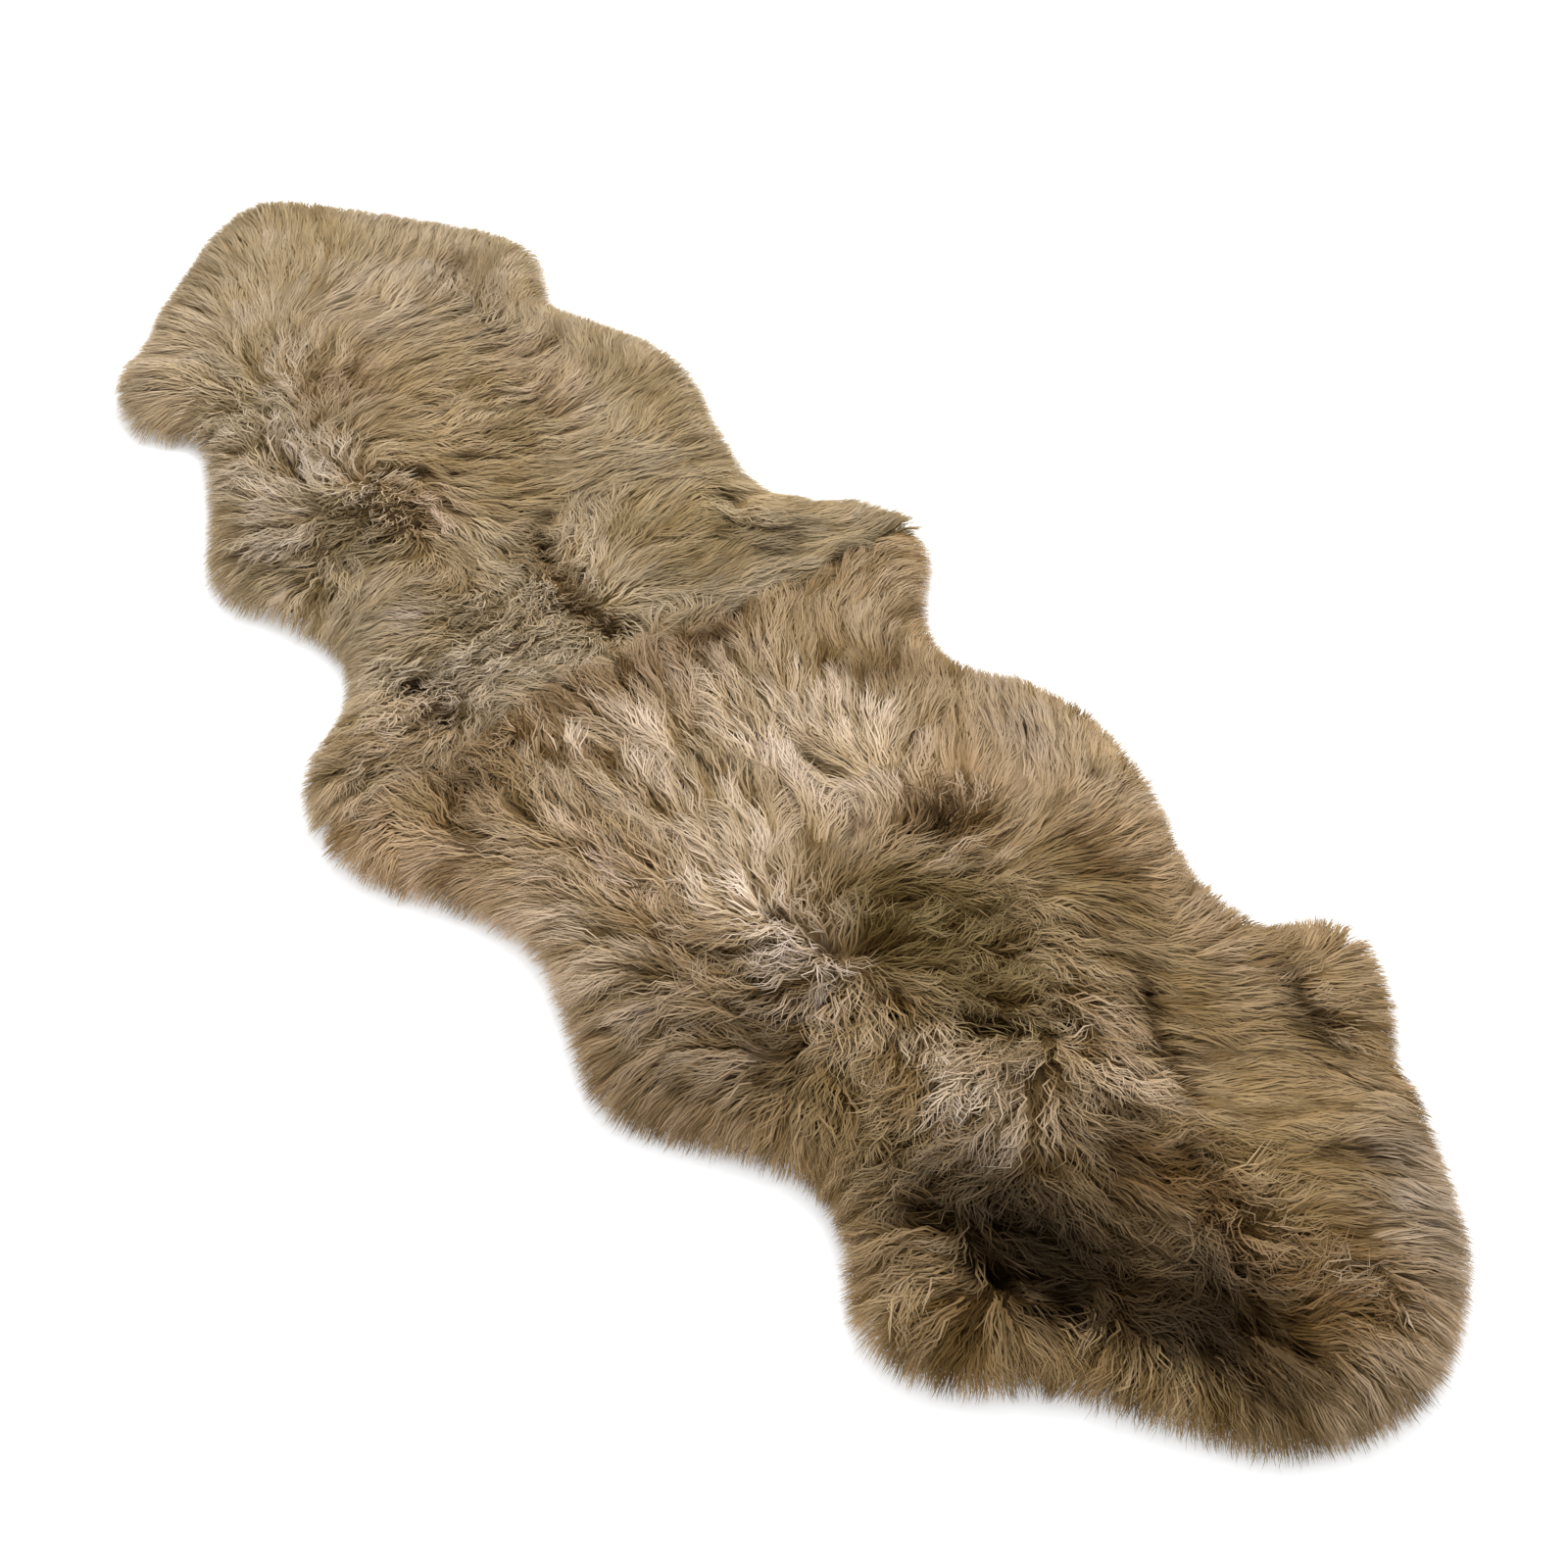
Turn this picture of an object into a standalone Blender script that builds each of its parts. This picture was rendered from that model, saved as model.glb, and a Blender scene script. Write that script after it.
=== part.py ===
"""A double sheepskin rug: two tanned pelts sewn end to end, lying flat with their long wool uppermost.

Metres, +Z up. X runs along the rug, from the end of the far pelt (-X) to the end of the near pelt (+X), and
Y across it. The origin is on the floor, under the middle of the rug's bounding box. Each pelt is a thin skin
on the floor and a fleece over it. The fleece is a lumpy slab that overhangs its skin and ends in separate
locks, which rest level on the floor.
"""

import math
import random
from collections import namedtuple

import bmesh
import bpy
from mathutils import Vector, noise
from mathutils.geometry import delaunay_2d_cdt

# The skins.
SKIN_THICKNESS = 0.002
GAP = 0.0003
SIDE_GAP = 0.0006           # between the skin's cut edge and the wool round it
PAST_JOIN = 0.020           # how far the cutters run past the join and below the floor
SKIN_INSET = 0.045          # from the tips of the wool in to the cut edge of the skin
SKIN_STEP = 0.030

# The fleece.
WOOL_DEPTH = 0.050          # the crown's height over the floor
RIM_HEIGHT = 0.021          # the slab's height where the locks leave it
ROUNDING = 0.070            # how far in from its rim the slab reaches its full depth
LUMP_SPAN = 0.065
LUMP_RISE = 0.008
RIM_LUMPS = 0.35            # share of those lumps left at the rim
INNER_STEP = 0.029          # spacing of the points that shape the upper face
INNER_CLEARANCE = 0.016     # how far those points stay from the slab's edge
JOIN_STEP = 0.028
EDGE_CLEARANCE = 0.008      # between the join and the first point of a rim that has been moved in
CROSSED_OVER = 0.985        # a point moved in that lies nearer the rim than this share has crossed a corner
CURVE_STEPS = 12            # points on the curve between two rows of a table
WITHIN_JOIN = 0.9           # brings a point past the join's ends back beside it
SIDEWAYS = 0.5              # a face whose normal rises less than this is a side face
NEAR_PROUD = 0.003          # the near pelt's wool stands this much higher at the join

# The locks at the rim.
LOCK_INSET = 0.027          # from the tips of the wool in to the slab's edge
LOCK_REACH = 0.030
LOCK_ROOT = 0.0135          # width of a lock where it leaves the slab
LOCK_GAP = 0.0060           # slab showing between two roots
LOCK_SWEEP = math.radians(24)
SWEEP_SPAN = 0.16           # how far along the rim the locks' lean changes
OWN_SWEEP = math.radians(4)
SHORTEST_LOCK = 0.80
HOLLOW_SHORTENING = 1.5     # how much a hollow bend of the rim shortens its locks, for each radian

RimPoint = namedtuple("RimPoint", "along across")
Lump = namedtuple("Lump", "along across radius rise")
LockStep = namedtuple("LockStep", "out width height")

# How a lock narrows and droops: shares of its reach, its root's width and its root's height.
LOCK_STEPS = (LockStep(0.50, 0.80, 0.72), LockStep(1.00, 0.26, 0.22))

# The sewn join, from the -Y side to the +Y side. Both pelts share it.
JOIN = (
    RimPoint(-0.052, -0.343),
    RimPoint(-0.042, -0.209),
    RimPoint(-0.047, -0.089),
    RimPoint(-0.037, 0.060),
    RimPoint(-0.032, 0.210),
    RimPoint(-0.036, 0.344),
)

# The tips of the far pelt's wool, from the join's +Y end round the far end to the join's -Y end.
FAR_RIM = (
    RimPoint(-0.036, 0.344),    # point of the shoulder at the join
    RimPoint(-0.077, 0.328),
    RimPoint(-0.112, 0.306),
    RimPoint(-0.142, 0.273),
    RimPoint(-0.197, 0.250),    # waist
    RimPoint(-0.272, 0.265),
    RimPoint(-0.377, 0.295),    # flank
    RimPoint(-0.472, 0.274),
    RimPoint(-0.552, 0.241),    # waist
    RimPoint(-0.612, 0.265),
    RimPoint(-0.650, 0.278),    # leg
    RimPoint(-0.709, 0.248),
    RimPoint(-0.838, 0.150),
    RimPoint(-0.893, 0.102),
    RimPoint(-0.915, 0.050),    # far end
    RimPoint(-0.898, -0.012),
    RimPoint(-0.820, -0.111),
    RimPoint(-0.759, -0.169),
    RimPoint(-0.729, -0.212),
    RimPoint(-0.657, -0.237),   # leg
    RimPoint(-0.618, -0.221),
    RimPoint(-0.584, -0.191),   # notch
    RimPoint(-0.499, -0.221),
    RimPoint(-0.380, -0.276),   # flank
    RimPoint(-0.300, -0.244),
    RimPoint(-0.224, -0.222),   # waist
    RimPoint(-0.164, -0.252),
    RimPoint(-0.132, -0.304),
    RimPoint(-0.100, -0.329),
    RimPoint(-0.052, -0.343),   # shoulder at the join
)

# The tips of the near pelt's wool, from the join's -Y end round the near end to the join's +Y end.
NEAR_RIM = (
    RimPoint(-0.052, -0.343),
    RimPoint(-0.002, -0.343),
    RimPoint(0.043, -0.323),
    RimPoint(0.108, -0.281),
    RimPoint(0.176, -0.257),    # waist
    RimPoint(0.243, -0.271),
    RimPoint(0.336, -0.297),    # flank
    RimPoint(0.393, -0.272),
    RimPoint(0.453, -0.226),
    RimPoint(0.503, -0.201),    # waist
    RimPoint(0.553, -0.213),
    RimPoint(0.615, -0.251),    # leg
    RimPoint(0.673, -0.239),
    RimPoint(0.710, -0.209),
    RimPoint(0.746, -0.159),
    RimPoint(0.836, -0.097),
    RimPoint(0.888, -0.049),
    RimPoint(0.913, 0.035),     # near end
    RimPoint(0.898, 0.100),
    RimPoint(0.848, 0.170),
    RimPoint(0.738, 0.238),
    RimPoint(0.698, 0.252),
    RimPoint(0.663, 0.286),
    RimPoint(0.595, 0.323),     # leg
    RimPoint(0.547, 0.300),
    RimPoint(0.525, 0.261),     # notch
    RimPoint(0.448, 0.256),
    RimPoint(0.358, 0.296),
    RimPoint(0.278, 0.310),     # flank
    RimPoint(0.208, 0.292),
    RimPoint(0.143, 0.251),     # waist
    RimPoint(0.086, 0.257),
    RimPoint(0.042, 0.290),
    RimPoint(0.007, 0.325),
    RimPoint(-0.036, 0.344),
)

# Where the wool is pressed down or piled up, seen from above.
LUMPS = (
    Lump(-0.637, 0.170, 0.045, -0.004),
    Lump(-0.549, -0.038, 0.050, -0.006),
    Lump(-0.470, 0.215, 0.060, 0.004),
    Lump(-0.365, -0.120, 0.060, 0.005),
    Lump(-0.180, 0.050, 0.045, 0.006),
    Lump(-0.160, -0.010, 0.050, -0.008),
    Lump(-0.120, -0.175, 0.045, -0.005),
    Lump(0.010, -0.207, 0.045, -0.008),
    Lump(0.038, 0.220, 0.060, 0.006),
    Lump(0.284, 0.112, 0.035, -0.010),
    Lump(0.278, 0.245, 0.060, 0.005),
    Lump(0.300, -0.185, 0.050, -0.004),
    Lump(0.370, -0.100, 0.055, 0.005),
    Lump(0.480, -0.045, 0.055, 0.006),
    Lump(0.556, 0.118, 0.028, -0.006),
    Lump(0.613, 0.090, 0.028, -0.007),
    Lump(0.640, 0.215, 0.035, -0.007),
    Lump(0.590, 0.255, 0.045, 0.005),
    Lump(0.660, -0.090, 0.080, -0.010),
    Lump(0.640, -0.185, 0.045, 0.006),
    Lump(0.700, 0.130, 0.070, 0.005),
    Lump(0.790, 0.000, 0.050, -0.006),
)


def clear_scene():
    for thing in list(bpy.data.objects):
        bpy.data.objects.remove(thing, do_unlink=True)


def new_collection(name, hidden=False):
    collection = bpy.data.collections.new(name)
    bpy.context.scene.collection.children.link(collection)
    collection.hide_render = hidden
    return collection


def material(name, colour, roughness):
    made = bpy.data.materials.new(name)
    made.use_nodes = True
    shader = made.node_tree.nodes["Principled BSDF"]
    shader.inputs["Base Color"].default_value = (*colour, 1.0)
    shader.inputs["Roughness"].default_value = roughness
    shader.inputs["Metallic"].default_value = 0.0
    return made


def object_from(bm, name, collection, finish):
    bmesh.ops.recalc_face_normals(bm, faces=bm.faces)
    mesh = bpy.data.meshes.new(name)
    bm.to_mesh(mesh)
    bm.free()
    mesh.materials.append(finish)
    made = bpy.data.objects.new(name, mesh)
    collection.objects.link(made)
    return made


def through(points):
    """A finely sampled smooth curve through the points of a table."""
    knots = [Vector((point.along, point.across)) for point in points]
    knots = [2 * knots[0] - knots[1], *knots, 2 * knots[-1] - knots[-2]]
    curve = []
    for a, b, c, d in zip(knots, knots[1:], knots[2:], knots[3:]):
        for step in range(CURVE_STEPS):
            t = step / CURVE_STEPS
            bend = (2 * a - 5 * b + 4 * c - d) * t**2 + (3 * b - a - 3 * c + d) * t**3
            curve.append(0.5 * (2 * b + (c - a) * t + bend))
    return curve + [knots[-2]]


def respaced(curve, steps):
    """Points along the curve, the steps taken in turn and stretched to fit a whole number of rounds."""
    lengths = [(b - a).length for a, b in zip(curve, curve[1:])]
    total = sum(lengths)
    rounds = max(1, round(total / sum(steps)))
    stretch = total / (rounds * sum(steps))
    made, place, done, segment = [curve[0]], 0.0, 0.0, 0
    for index in range(rounds * len(steps) - 1):
        place += steps[index % len(steps)] * stretch
        while done + lengths[segment] < place:
            done += lengths[segment]
            segment += 1
        made.append(curve[segment].lerp(curve[segment + 1], (place - done) / lengths[segment]))
    return made + [curve[-1]]


def join_at(across, shift):
    """The join's point at a distance across the rug, moved along the rug by the shift."""
    curve = through(JOIN)
    for a, b in zip(curve, curve[1:]):
        if a.y <= across <= b.y:
            return a.lerp(b, (across - a.y) / (b.y - a.y)) + Vector((shift, 0))
    raise ValueError("the join doesn't reach that far across")


def moved_in(rim, distance, side, shift):
    """An anticlockwise rim moved inwards, its ends kept on the join. Points that cross over are dropped."""
    ends = [join_at(end.y - math.copysign(distance, end.y), shift) for end in (rim[0], rim[-1])]
    inner = []
    for before, after, point in zip(rim, rim[2:], rim[1:-1]):
        way = (after - before).normalized()
        moved = point + distance * Vector((-way.y, way.x))
        clear_of_join = side * (moved.x - join_at(point.y * WITHIN_JOIN, shift).x) > EDGE_CLEARANCE
        if clear_of_join and distance_to(moved, rim) > CROSSED_OVER * distance:
            inner.append(moved)
    return [ends[0], *inner, ends[1]]


def join_between(start, end, step, shift):
    """The join's points strictly between two of its ends, evenly spread across the rug."""
    count = round(abs(end.y - start.y) / step)
    return [join_at(start.y + (end.y - start.y) * k / count, shift) for k in range(1, count)]


def side_of(table):
    """Which way from the join the pelt lies: -1 for the far pelt and 1 for the near one."""
    return math.copysign(1, table[len(table) // 2].along - JOIN[0].along)


def inside(point, outline):
    crossings = 0
    for a, b in zip(outline, outline[1:] + outline[:1]):
        if (a.y > point.y) != (b.y > point.y):
            crossings += point.x < a.x + (point.y - a.y) * (b.x - a.x) / (b.y - a.y)
    return crossings % 2 == 1


def distance_to(point, line):
    """How far the point is from an open line of points."""
    nearest = math.inf
    for a, b in zip(line, line[1:]):
        way = b - a
        share = min(1.0, max(0.0, (point - a).dot(way) / way.length_squared))
        nearest = min(nearest, (point - a - share * way).length)
    return nearest


def inner_points(outline):
    """Points in staggered rows inside the outline, clear of its edge."""
    lowest = Vector((min(p.x for p in outline), min(p.y for p in outline)))
    highest = Vector((max(p.x for p in outline), max(p.y for p in outline)))
    edge = outline + outline[:1]
    made = []
    row_height = INNER_STEP * math.sqrt(3) / 2
    for row in range(int((highest.y - lowest.y) / row_height) + 1):
        for column in range(int((highest.x - lowest.x) / INNER_STEP) + 1):
            across = lowest.y + row * row_height
            point = Vector((lowest.x + (column + 0.5 * (row % 2)) * INNER_STEP, across))
            if inside(point, outline) and distance_to(point, edge) > INNER_CLEARANCE:
                made.append(point)
    return made


def wool_height(point, rim, side):
    """The slab's upper face: round at the rim, lumpy, and pressed or piled where the table says."""
    inwards = min(distance_to(point, rim) / ROUNDING, 1.0)
    crown = math.sqrt(1.0 - (1.0 - inwards) ** 2)
    height = RIM_HEIGHT + (WOOL_DEPTH - RIM_HEIGHT) * crown
    place = Vector((point.x, point.y, 0.0)) / LUMP_SPAN
    height += LUMP_RISE * (RIM_LUMPS + (1.0 - RIM_LUMPS) * crown) * noise.noise(place)
    for lump in LUMPS:
        away = (point - Vector((lump.along, lump.across))).length / lump.radius
        height += crown * lump.rise * math.exp(-away * away)
    if side > 0:
        to_join = abs(point.x - JOIN[0].along) / ROUNDING
        height += crown * NEAR_PROUD * math.exp(-to_join * to_join)
    return height


def raised_slab(outline, rim, side):
    """A closed slab on the floor with a level underside, and the vertices of its lower edge in order."""
    points = outline + inner_points(outline)
    made, _, triangles, sources, _, _ = delaunay_2d_cdt(points, [], [list(range(len(outline)))], 1, 1e-7)
    bm = bmesh.new()
    floor = [bm.verts.new((point.x, point.y, 0.0)) for point in made]
    for corners in triangles:
        bm.faces.new([floor[k] for k in corners])
    under = list(bm.faces)
    raised = bmesh.ops.extrude_face_region(bm, geom=under)
    for vertex in raised["geom"]:
        if isinstance(vertex, bmesh.types.BMVert):
            vertex.co.z = wool_height(vertex.co.xy, rim, side)
    place_of = {source: k for k, merged in enumerate(sources) for source in merged}
    ring = [floor[place_of[k]] for k in range(len(outline))]
    bmesh.ops.dissolve_faces(bm, faces=under, use_verts=False)
    bmesh.ops.delete(bm, geom=[v for v in bm.verts if not v.link_faces], context="VERTS")
    bmesh.ops.recalc_face_normals(bm, faces=bm.faces)
    return bm, ring


def wall_over(bm, a, b):
    """The slab's side face that stands on the edge between two neighbours of its lower ring."""
    edge = bm.edges.get((a, b))
    return next(face for face in edge.link_faces if abs(face.normal.z) < SIDEWAYS)


def pull_lock(bm, face, reach, sweep):
    """Draws a side face out into a tapered lock of four sides, its underside level on the floor."""
    root = face.calc_center_median().xy
    out = face.normal.xy.normalized()
    along = Vector((-out.y, out.x))
    way = out * math.cos(sweep) + along * math.sin(sweep)
    corners = [(vertex.co.copy() - root.to_3d()) for vertex in face.verts]
    for step in LOCK_STEPS:
        face = bmesh.ops.extrude_discrete_faces(bm, faces=[face])["faces"][0]
        for vertex, corner in zip(face.verts, corners):
            across = corner.xy.dot(along) * step.width
            place = root + way * reach * step.out + along * across
            vertex.co = (place.x, place.y, corner.z * step.height)


def pull_locks(bm, ring, roots, seed):
    """A lock on each root wall, leaning together with its neighbours and each a little its own way."""
    draws = random.Random(seed)
    travelled = 0.0
    walls = [(k, wall_over(bm, ring[k], ring[k + 1])) for k in roots]
    beside_join = (roots[0], roots[-1])
    for k, wall in walls:
        before = ring[k].co.xy - ring[k - 1].co.xy
        after = ring[k + 2].co.xy - ring[k + 1].co.xy
        hollow = max(0.0, before.angle_signed(after, 0.0))
        travelled += LOCK_ROOT + LOCK_GAP
        lean = noise.noise(Vector((travelled / SWEEP_SPAN, seed, 0.5)))
        sweep = LOCK_SWEEP * 2.0 * lean + draws.uniform(-OWN_SWEEP, OWN_SWEEP)
        sweep = 0.0 if k in beside_join else max(-LOCK_SWEEP, min(LOCK_SWEEP, sweep))
        share = draws.uniform(SHORTEST_LOCK, 1.0) / (1.0 + HOLLOW_SHORTENING * hollow)
        pull_lock(bm, wall, LOCK_REACH * share, sweep)


def skin_rim(table):
    """The cut edge of a pelt's skin but for its join."""
    side = side_of(table)
    return respaced(moved_in(through(table), SKIN_INSET, side, side * GAP / 2), (SKIN_STEP,))


def skin_outline(table):
    rim = skin_rim(table)
    return rim + join_between(rim[-1], rim[0], SKIN_STEP, side_of(table) * GAP / 2)


def grown(rim, distance):
    """An anticlockwise rim moved outwards, its ends straight across the rug."""
    ends = [end + Vector((0.0, math.copysign(distance, end.y))) for end in (rim[0], rim[-1])]
    outer = []
    for before, after, point in zip(rim, rim[2:], rim[1:-1]):
        way = (after - before).normalized()
        outer.append(point + distance * Vector((way.y, -way.x)))
    return [ends[0], *outer, ends[1]]


def flat_piece(name, outline, bottom, top, collection, finish):
    """A flat sheet between two heights: a filled outline, turned to a closed mesh."""
    curve = bpy.data.curves.new(name, "CURVE")
    curve.dimensions = "2D"
    curve.fill_mode = "BOTH"
    curve.extrude = (top - bottom) / 2
    spline = curve.splines.new("POLY")
    spline.points.add(len(outline) - 1)
    for point, place in zip(spline.points, outline):
        point.co = (place.x, place.y, 0.0, 1.0)
    spline.use_cyclic_u = True
    drawn = bpy.data.objects.new(name + "_outline", curve)
    collection.objects.link(drawn)
    graph = bpy.context.evaluated_depsgraph_get()
    bm = bmesh.new()
    bm.from_mesh(bpy.data.meshes.new_from_object(drawn.evaluated_get(graph)))
    bpy.data.objects.remove(drawn, do_unlink=True)
    bmesh.ops.remove_doubles(bm, verts=bm.verts, dist=1e-5)
    bmesh.ops.translate(bm, verts=bm.verts, vec=(0.0, 0.0, (top + bottom) / 2))
    return object_from(bm, name, collection, finish)


def fleece(name, table, seed, cutter, collection, finish):
    """The wool of one pelt: a lumpy slab over the skin, with locks all round but along the join."""
    side = side_of(table)
    shift = side * GAP / 2
    rim = respaced(moved_in(through(table), LOCK_INSET, side, shift), (LOCK_ROOT, LOCK_GAP))
    outline = rim + join_between(rim[-1], rim[0], JOIN_STEP, shift)
    bm, ring = raised_slab(outline, rim, side)
    pull_locks(bm, ring, range(0, len(rim) - 1, 2), seed)
    made = object_from(bm, name, collection, finish)
    hollow = made.modifiers.new("room_for_the_skin", "BOOLEAN")
    hollow.operation = "DIFFERENCE"
    hollow.solver = "EXACT"
    hollow.object = cutter
    return made


def skin_cutter(name, table, collection, finish):
    """What the skin takes out of the fleece's underside, open at the floor and at the join."""
    rim = grown(skin_rim(table), SIDE_GAP)
    past_join = Vector((-side_of(table) * PAST_JOIN, 0.0))
    outline = rim + [rim[-1] + past_join, rim[0] + past_join]
    made = flat_piece(name, outline, -PAST_JOIN, SKIN_THICKNESS + GAP, collection, finish)
    made.hide_render = True
    made.display_type = "WIRE"
    return made


def centre(pieces):
    """Moves the pieces together so that the middle of their box stands over the origin."""
    bpy.context.view_layer.update()
    corners = [Vector(corner) for piece in pieces for corner in piece.bound_box]
    middle = [(min(c[k] for c in corners) + max(c[k] for c in corners)) / 2 for k in range(2)]
    for piece in bpy.data.objects:
        piece.location -= Vector((*middle, 0.0))


def build():
    clear_scene()
    rug = new_collection("sheepskin_rug")
    cutters = new_collection("cutters", hidden=True)
    tanned = material("tanned_skin", (0.62, 0.50, 0.36), 0.85)
    far_wool = material("far_wool", (0.30, 0.23, 0.14), 0.9)
    near_wool = material("near_wool", (0.27, 0.19, 0.12), 0.9)
    pelts = (("far", FAR_RIM, far_wool, 3), ("near", NEAR_RIM, near_wool, 8))
    pieces = []
    for name, table, wool, seed in pelts:
        pieces.append(flat_piece(f"{name}_skin", skin_outline(table), 0.0, SKIN_THICKNESS, rug, tanned))
        cutter = skin_cutter(f"{name}_skin_cutter", table, cutters, tanned)
        pieces.append(fleece(f"{name}_fleece", table, seed, cutter, rug, wool))
    centre(pieces)


build()
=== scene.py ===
"""The looks of a double sheepskin rug: two tanned pelts sewn end to end, with deep wavy wool.

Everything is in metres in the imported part's own frame: X along the rug, Y across it, +Z up from the floor.
The wool is made of many thousands of narrow tapered wisps. They grow in locks from a low woolly mound over
each skin, lean the way the nap lies there, and droop to the floor round the rim.
"""

import math
from collections import namedtuple
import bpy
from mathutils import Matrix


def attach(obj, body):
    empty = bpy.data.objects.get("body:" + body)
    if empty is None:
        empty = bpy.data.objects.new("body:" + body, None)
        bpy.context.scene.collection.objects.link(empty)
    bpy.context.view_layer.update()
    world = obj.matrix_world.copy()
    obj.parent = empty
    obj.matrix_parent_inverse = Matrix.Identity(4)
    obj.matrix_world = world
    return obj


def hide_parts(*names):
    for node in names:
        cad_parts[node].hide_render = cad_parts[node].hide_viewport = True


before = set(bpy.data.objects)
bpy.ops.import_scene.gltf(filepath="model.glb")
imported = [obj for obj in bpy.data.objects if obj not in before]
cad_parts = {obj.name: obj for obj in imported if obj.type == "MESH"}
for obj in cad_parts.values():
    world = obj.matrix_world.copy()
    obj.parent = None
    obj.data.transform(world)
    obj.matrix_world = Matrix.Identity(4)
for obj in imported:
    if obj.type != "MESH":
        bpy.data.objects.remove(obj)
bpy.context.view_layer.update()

from types import SimpleNamespace as Values

import bmesh
import bpy
import numpy as np
from mathutils import Vector
from mathutils.geometry import delaunay_2d_cdt

RimPoint = namedtuple("RimPoint", "along across")
Nap = namedtuple("Nap", "along across to_along to_across")
Lump = namedtuple("Lump", "along across radius rise")
Patch = namedtuple("Patch", "along across long wide turn colour strength")
Feel = namedtuple("Feel", "along across long wide turn tufted curly")
Parting = namedtuple("Parting", "along across long wide turn depth")
Coat = namedtuple(
    "Coat",
    "roots inward rimward calm near over_join tufted bunched curl loose parting heading "
    "tuft in_tuft tuft_crest lock in_lock lock_crest"
)
Wisps = namedtuple("Wisps", "lines colours widths tilts near")

# The tips of the wool seen from above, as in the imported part. The pelts share their first and last rows.
FAR_RIM = [RimPoint(*row) for row in (
    # the shoulder at the join, and in to the waist
    (-0.036, 0.344), (-0.077, 0.328), (-0.112, 0.306), (-0.142, 0.273), (-0.197, 0.25),
    # the flank and the second waist
    (-0.272, 0.265), (-0.377, 0.295), (-0.472, 0.274), (-0.552, 0.241),
    # the leg
    (-0.612, 0.265), (-0.65, 0.278), (-0.709, 0.248),
    # round the far end
    (-0.838, 0.15), (-0.893, 0.102), (-0.915, 0.05), (-0.898, -0.012), (-0.82, -0.111), (-0.759, -0.169),
    # the other leg and the notch after it
    (-0.729, -0.212), (-0.657, -0.237), (-0.618, -0.221), (-0.584, -0.191),
    # the flank and the waist
    (-0.499, -0.221), (-0.38, -0.276), (-0.3, -0.244), (-0.224, -0.222),
    # out to the shoulder at the join
    (-0.164, -0.252), (-0.132, -0.304), (-0.1, -0.329), (-0.052, -0.343),
)]
NEAR_RIM = [RimPoint(*row) for row in (
    # the shoulder at the join, and in to the waist
    (-0.052, -0.343), (-0.002, -0.343), (0.043, -0.323), (0.108, -0.281), (0.176, -0.257),
    # the flank and the second waist
    (0.243, -0.271), (0.336, -0.297), (0.393, -0.272), (0.453, -0.226), (0.503, -0.201),
    # the leg
    (0.553, -0.213), (0.615, -0.251), (0.673, -0.239), (0.71, -0.209), (0.746, -0.159),
    # round the near end
    (0.836, -0.097), (0.888, -0.049), (0.913, 0.035), (0.898, 0.1), (0.848, 0.17),
    # the other leg and the notch after it
    (0.738, 0.238), (0.698, 0.252), (0.663, 0.286), (0.595, 0.323), (0.547, 0.3), (0.525, 0.261),
    # the flank and the waist
    (0.448, 0.256), (0.358, 0.296), (0.278, 0.31), (0.208, 0.292), (0.143, 0.251),
    # out to the shoulder at the join
    (0.086, 0.257), (0.042, 0.29), (0.007, 0.325), (-0.036, 0.344),
)]
JOIN = [RimPoint(*row) for row in (
    (-0.052, -0.343), (-0.042, -0.209), (-0.047, -0.089), (-0.037, 0.06), (-0.032, 0.21), (-0.036, 0.344),
)]

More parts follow.
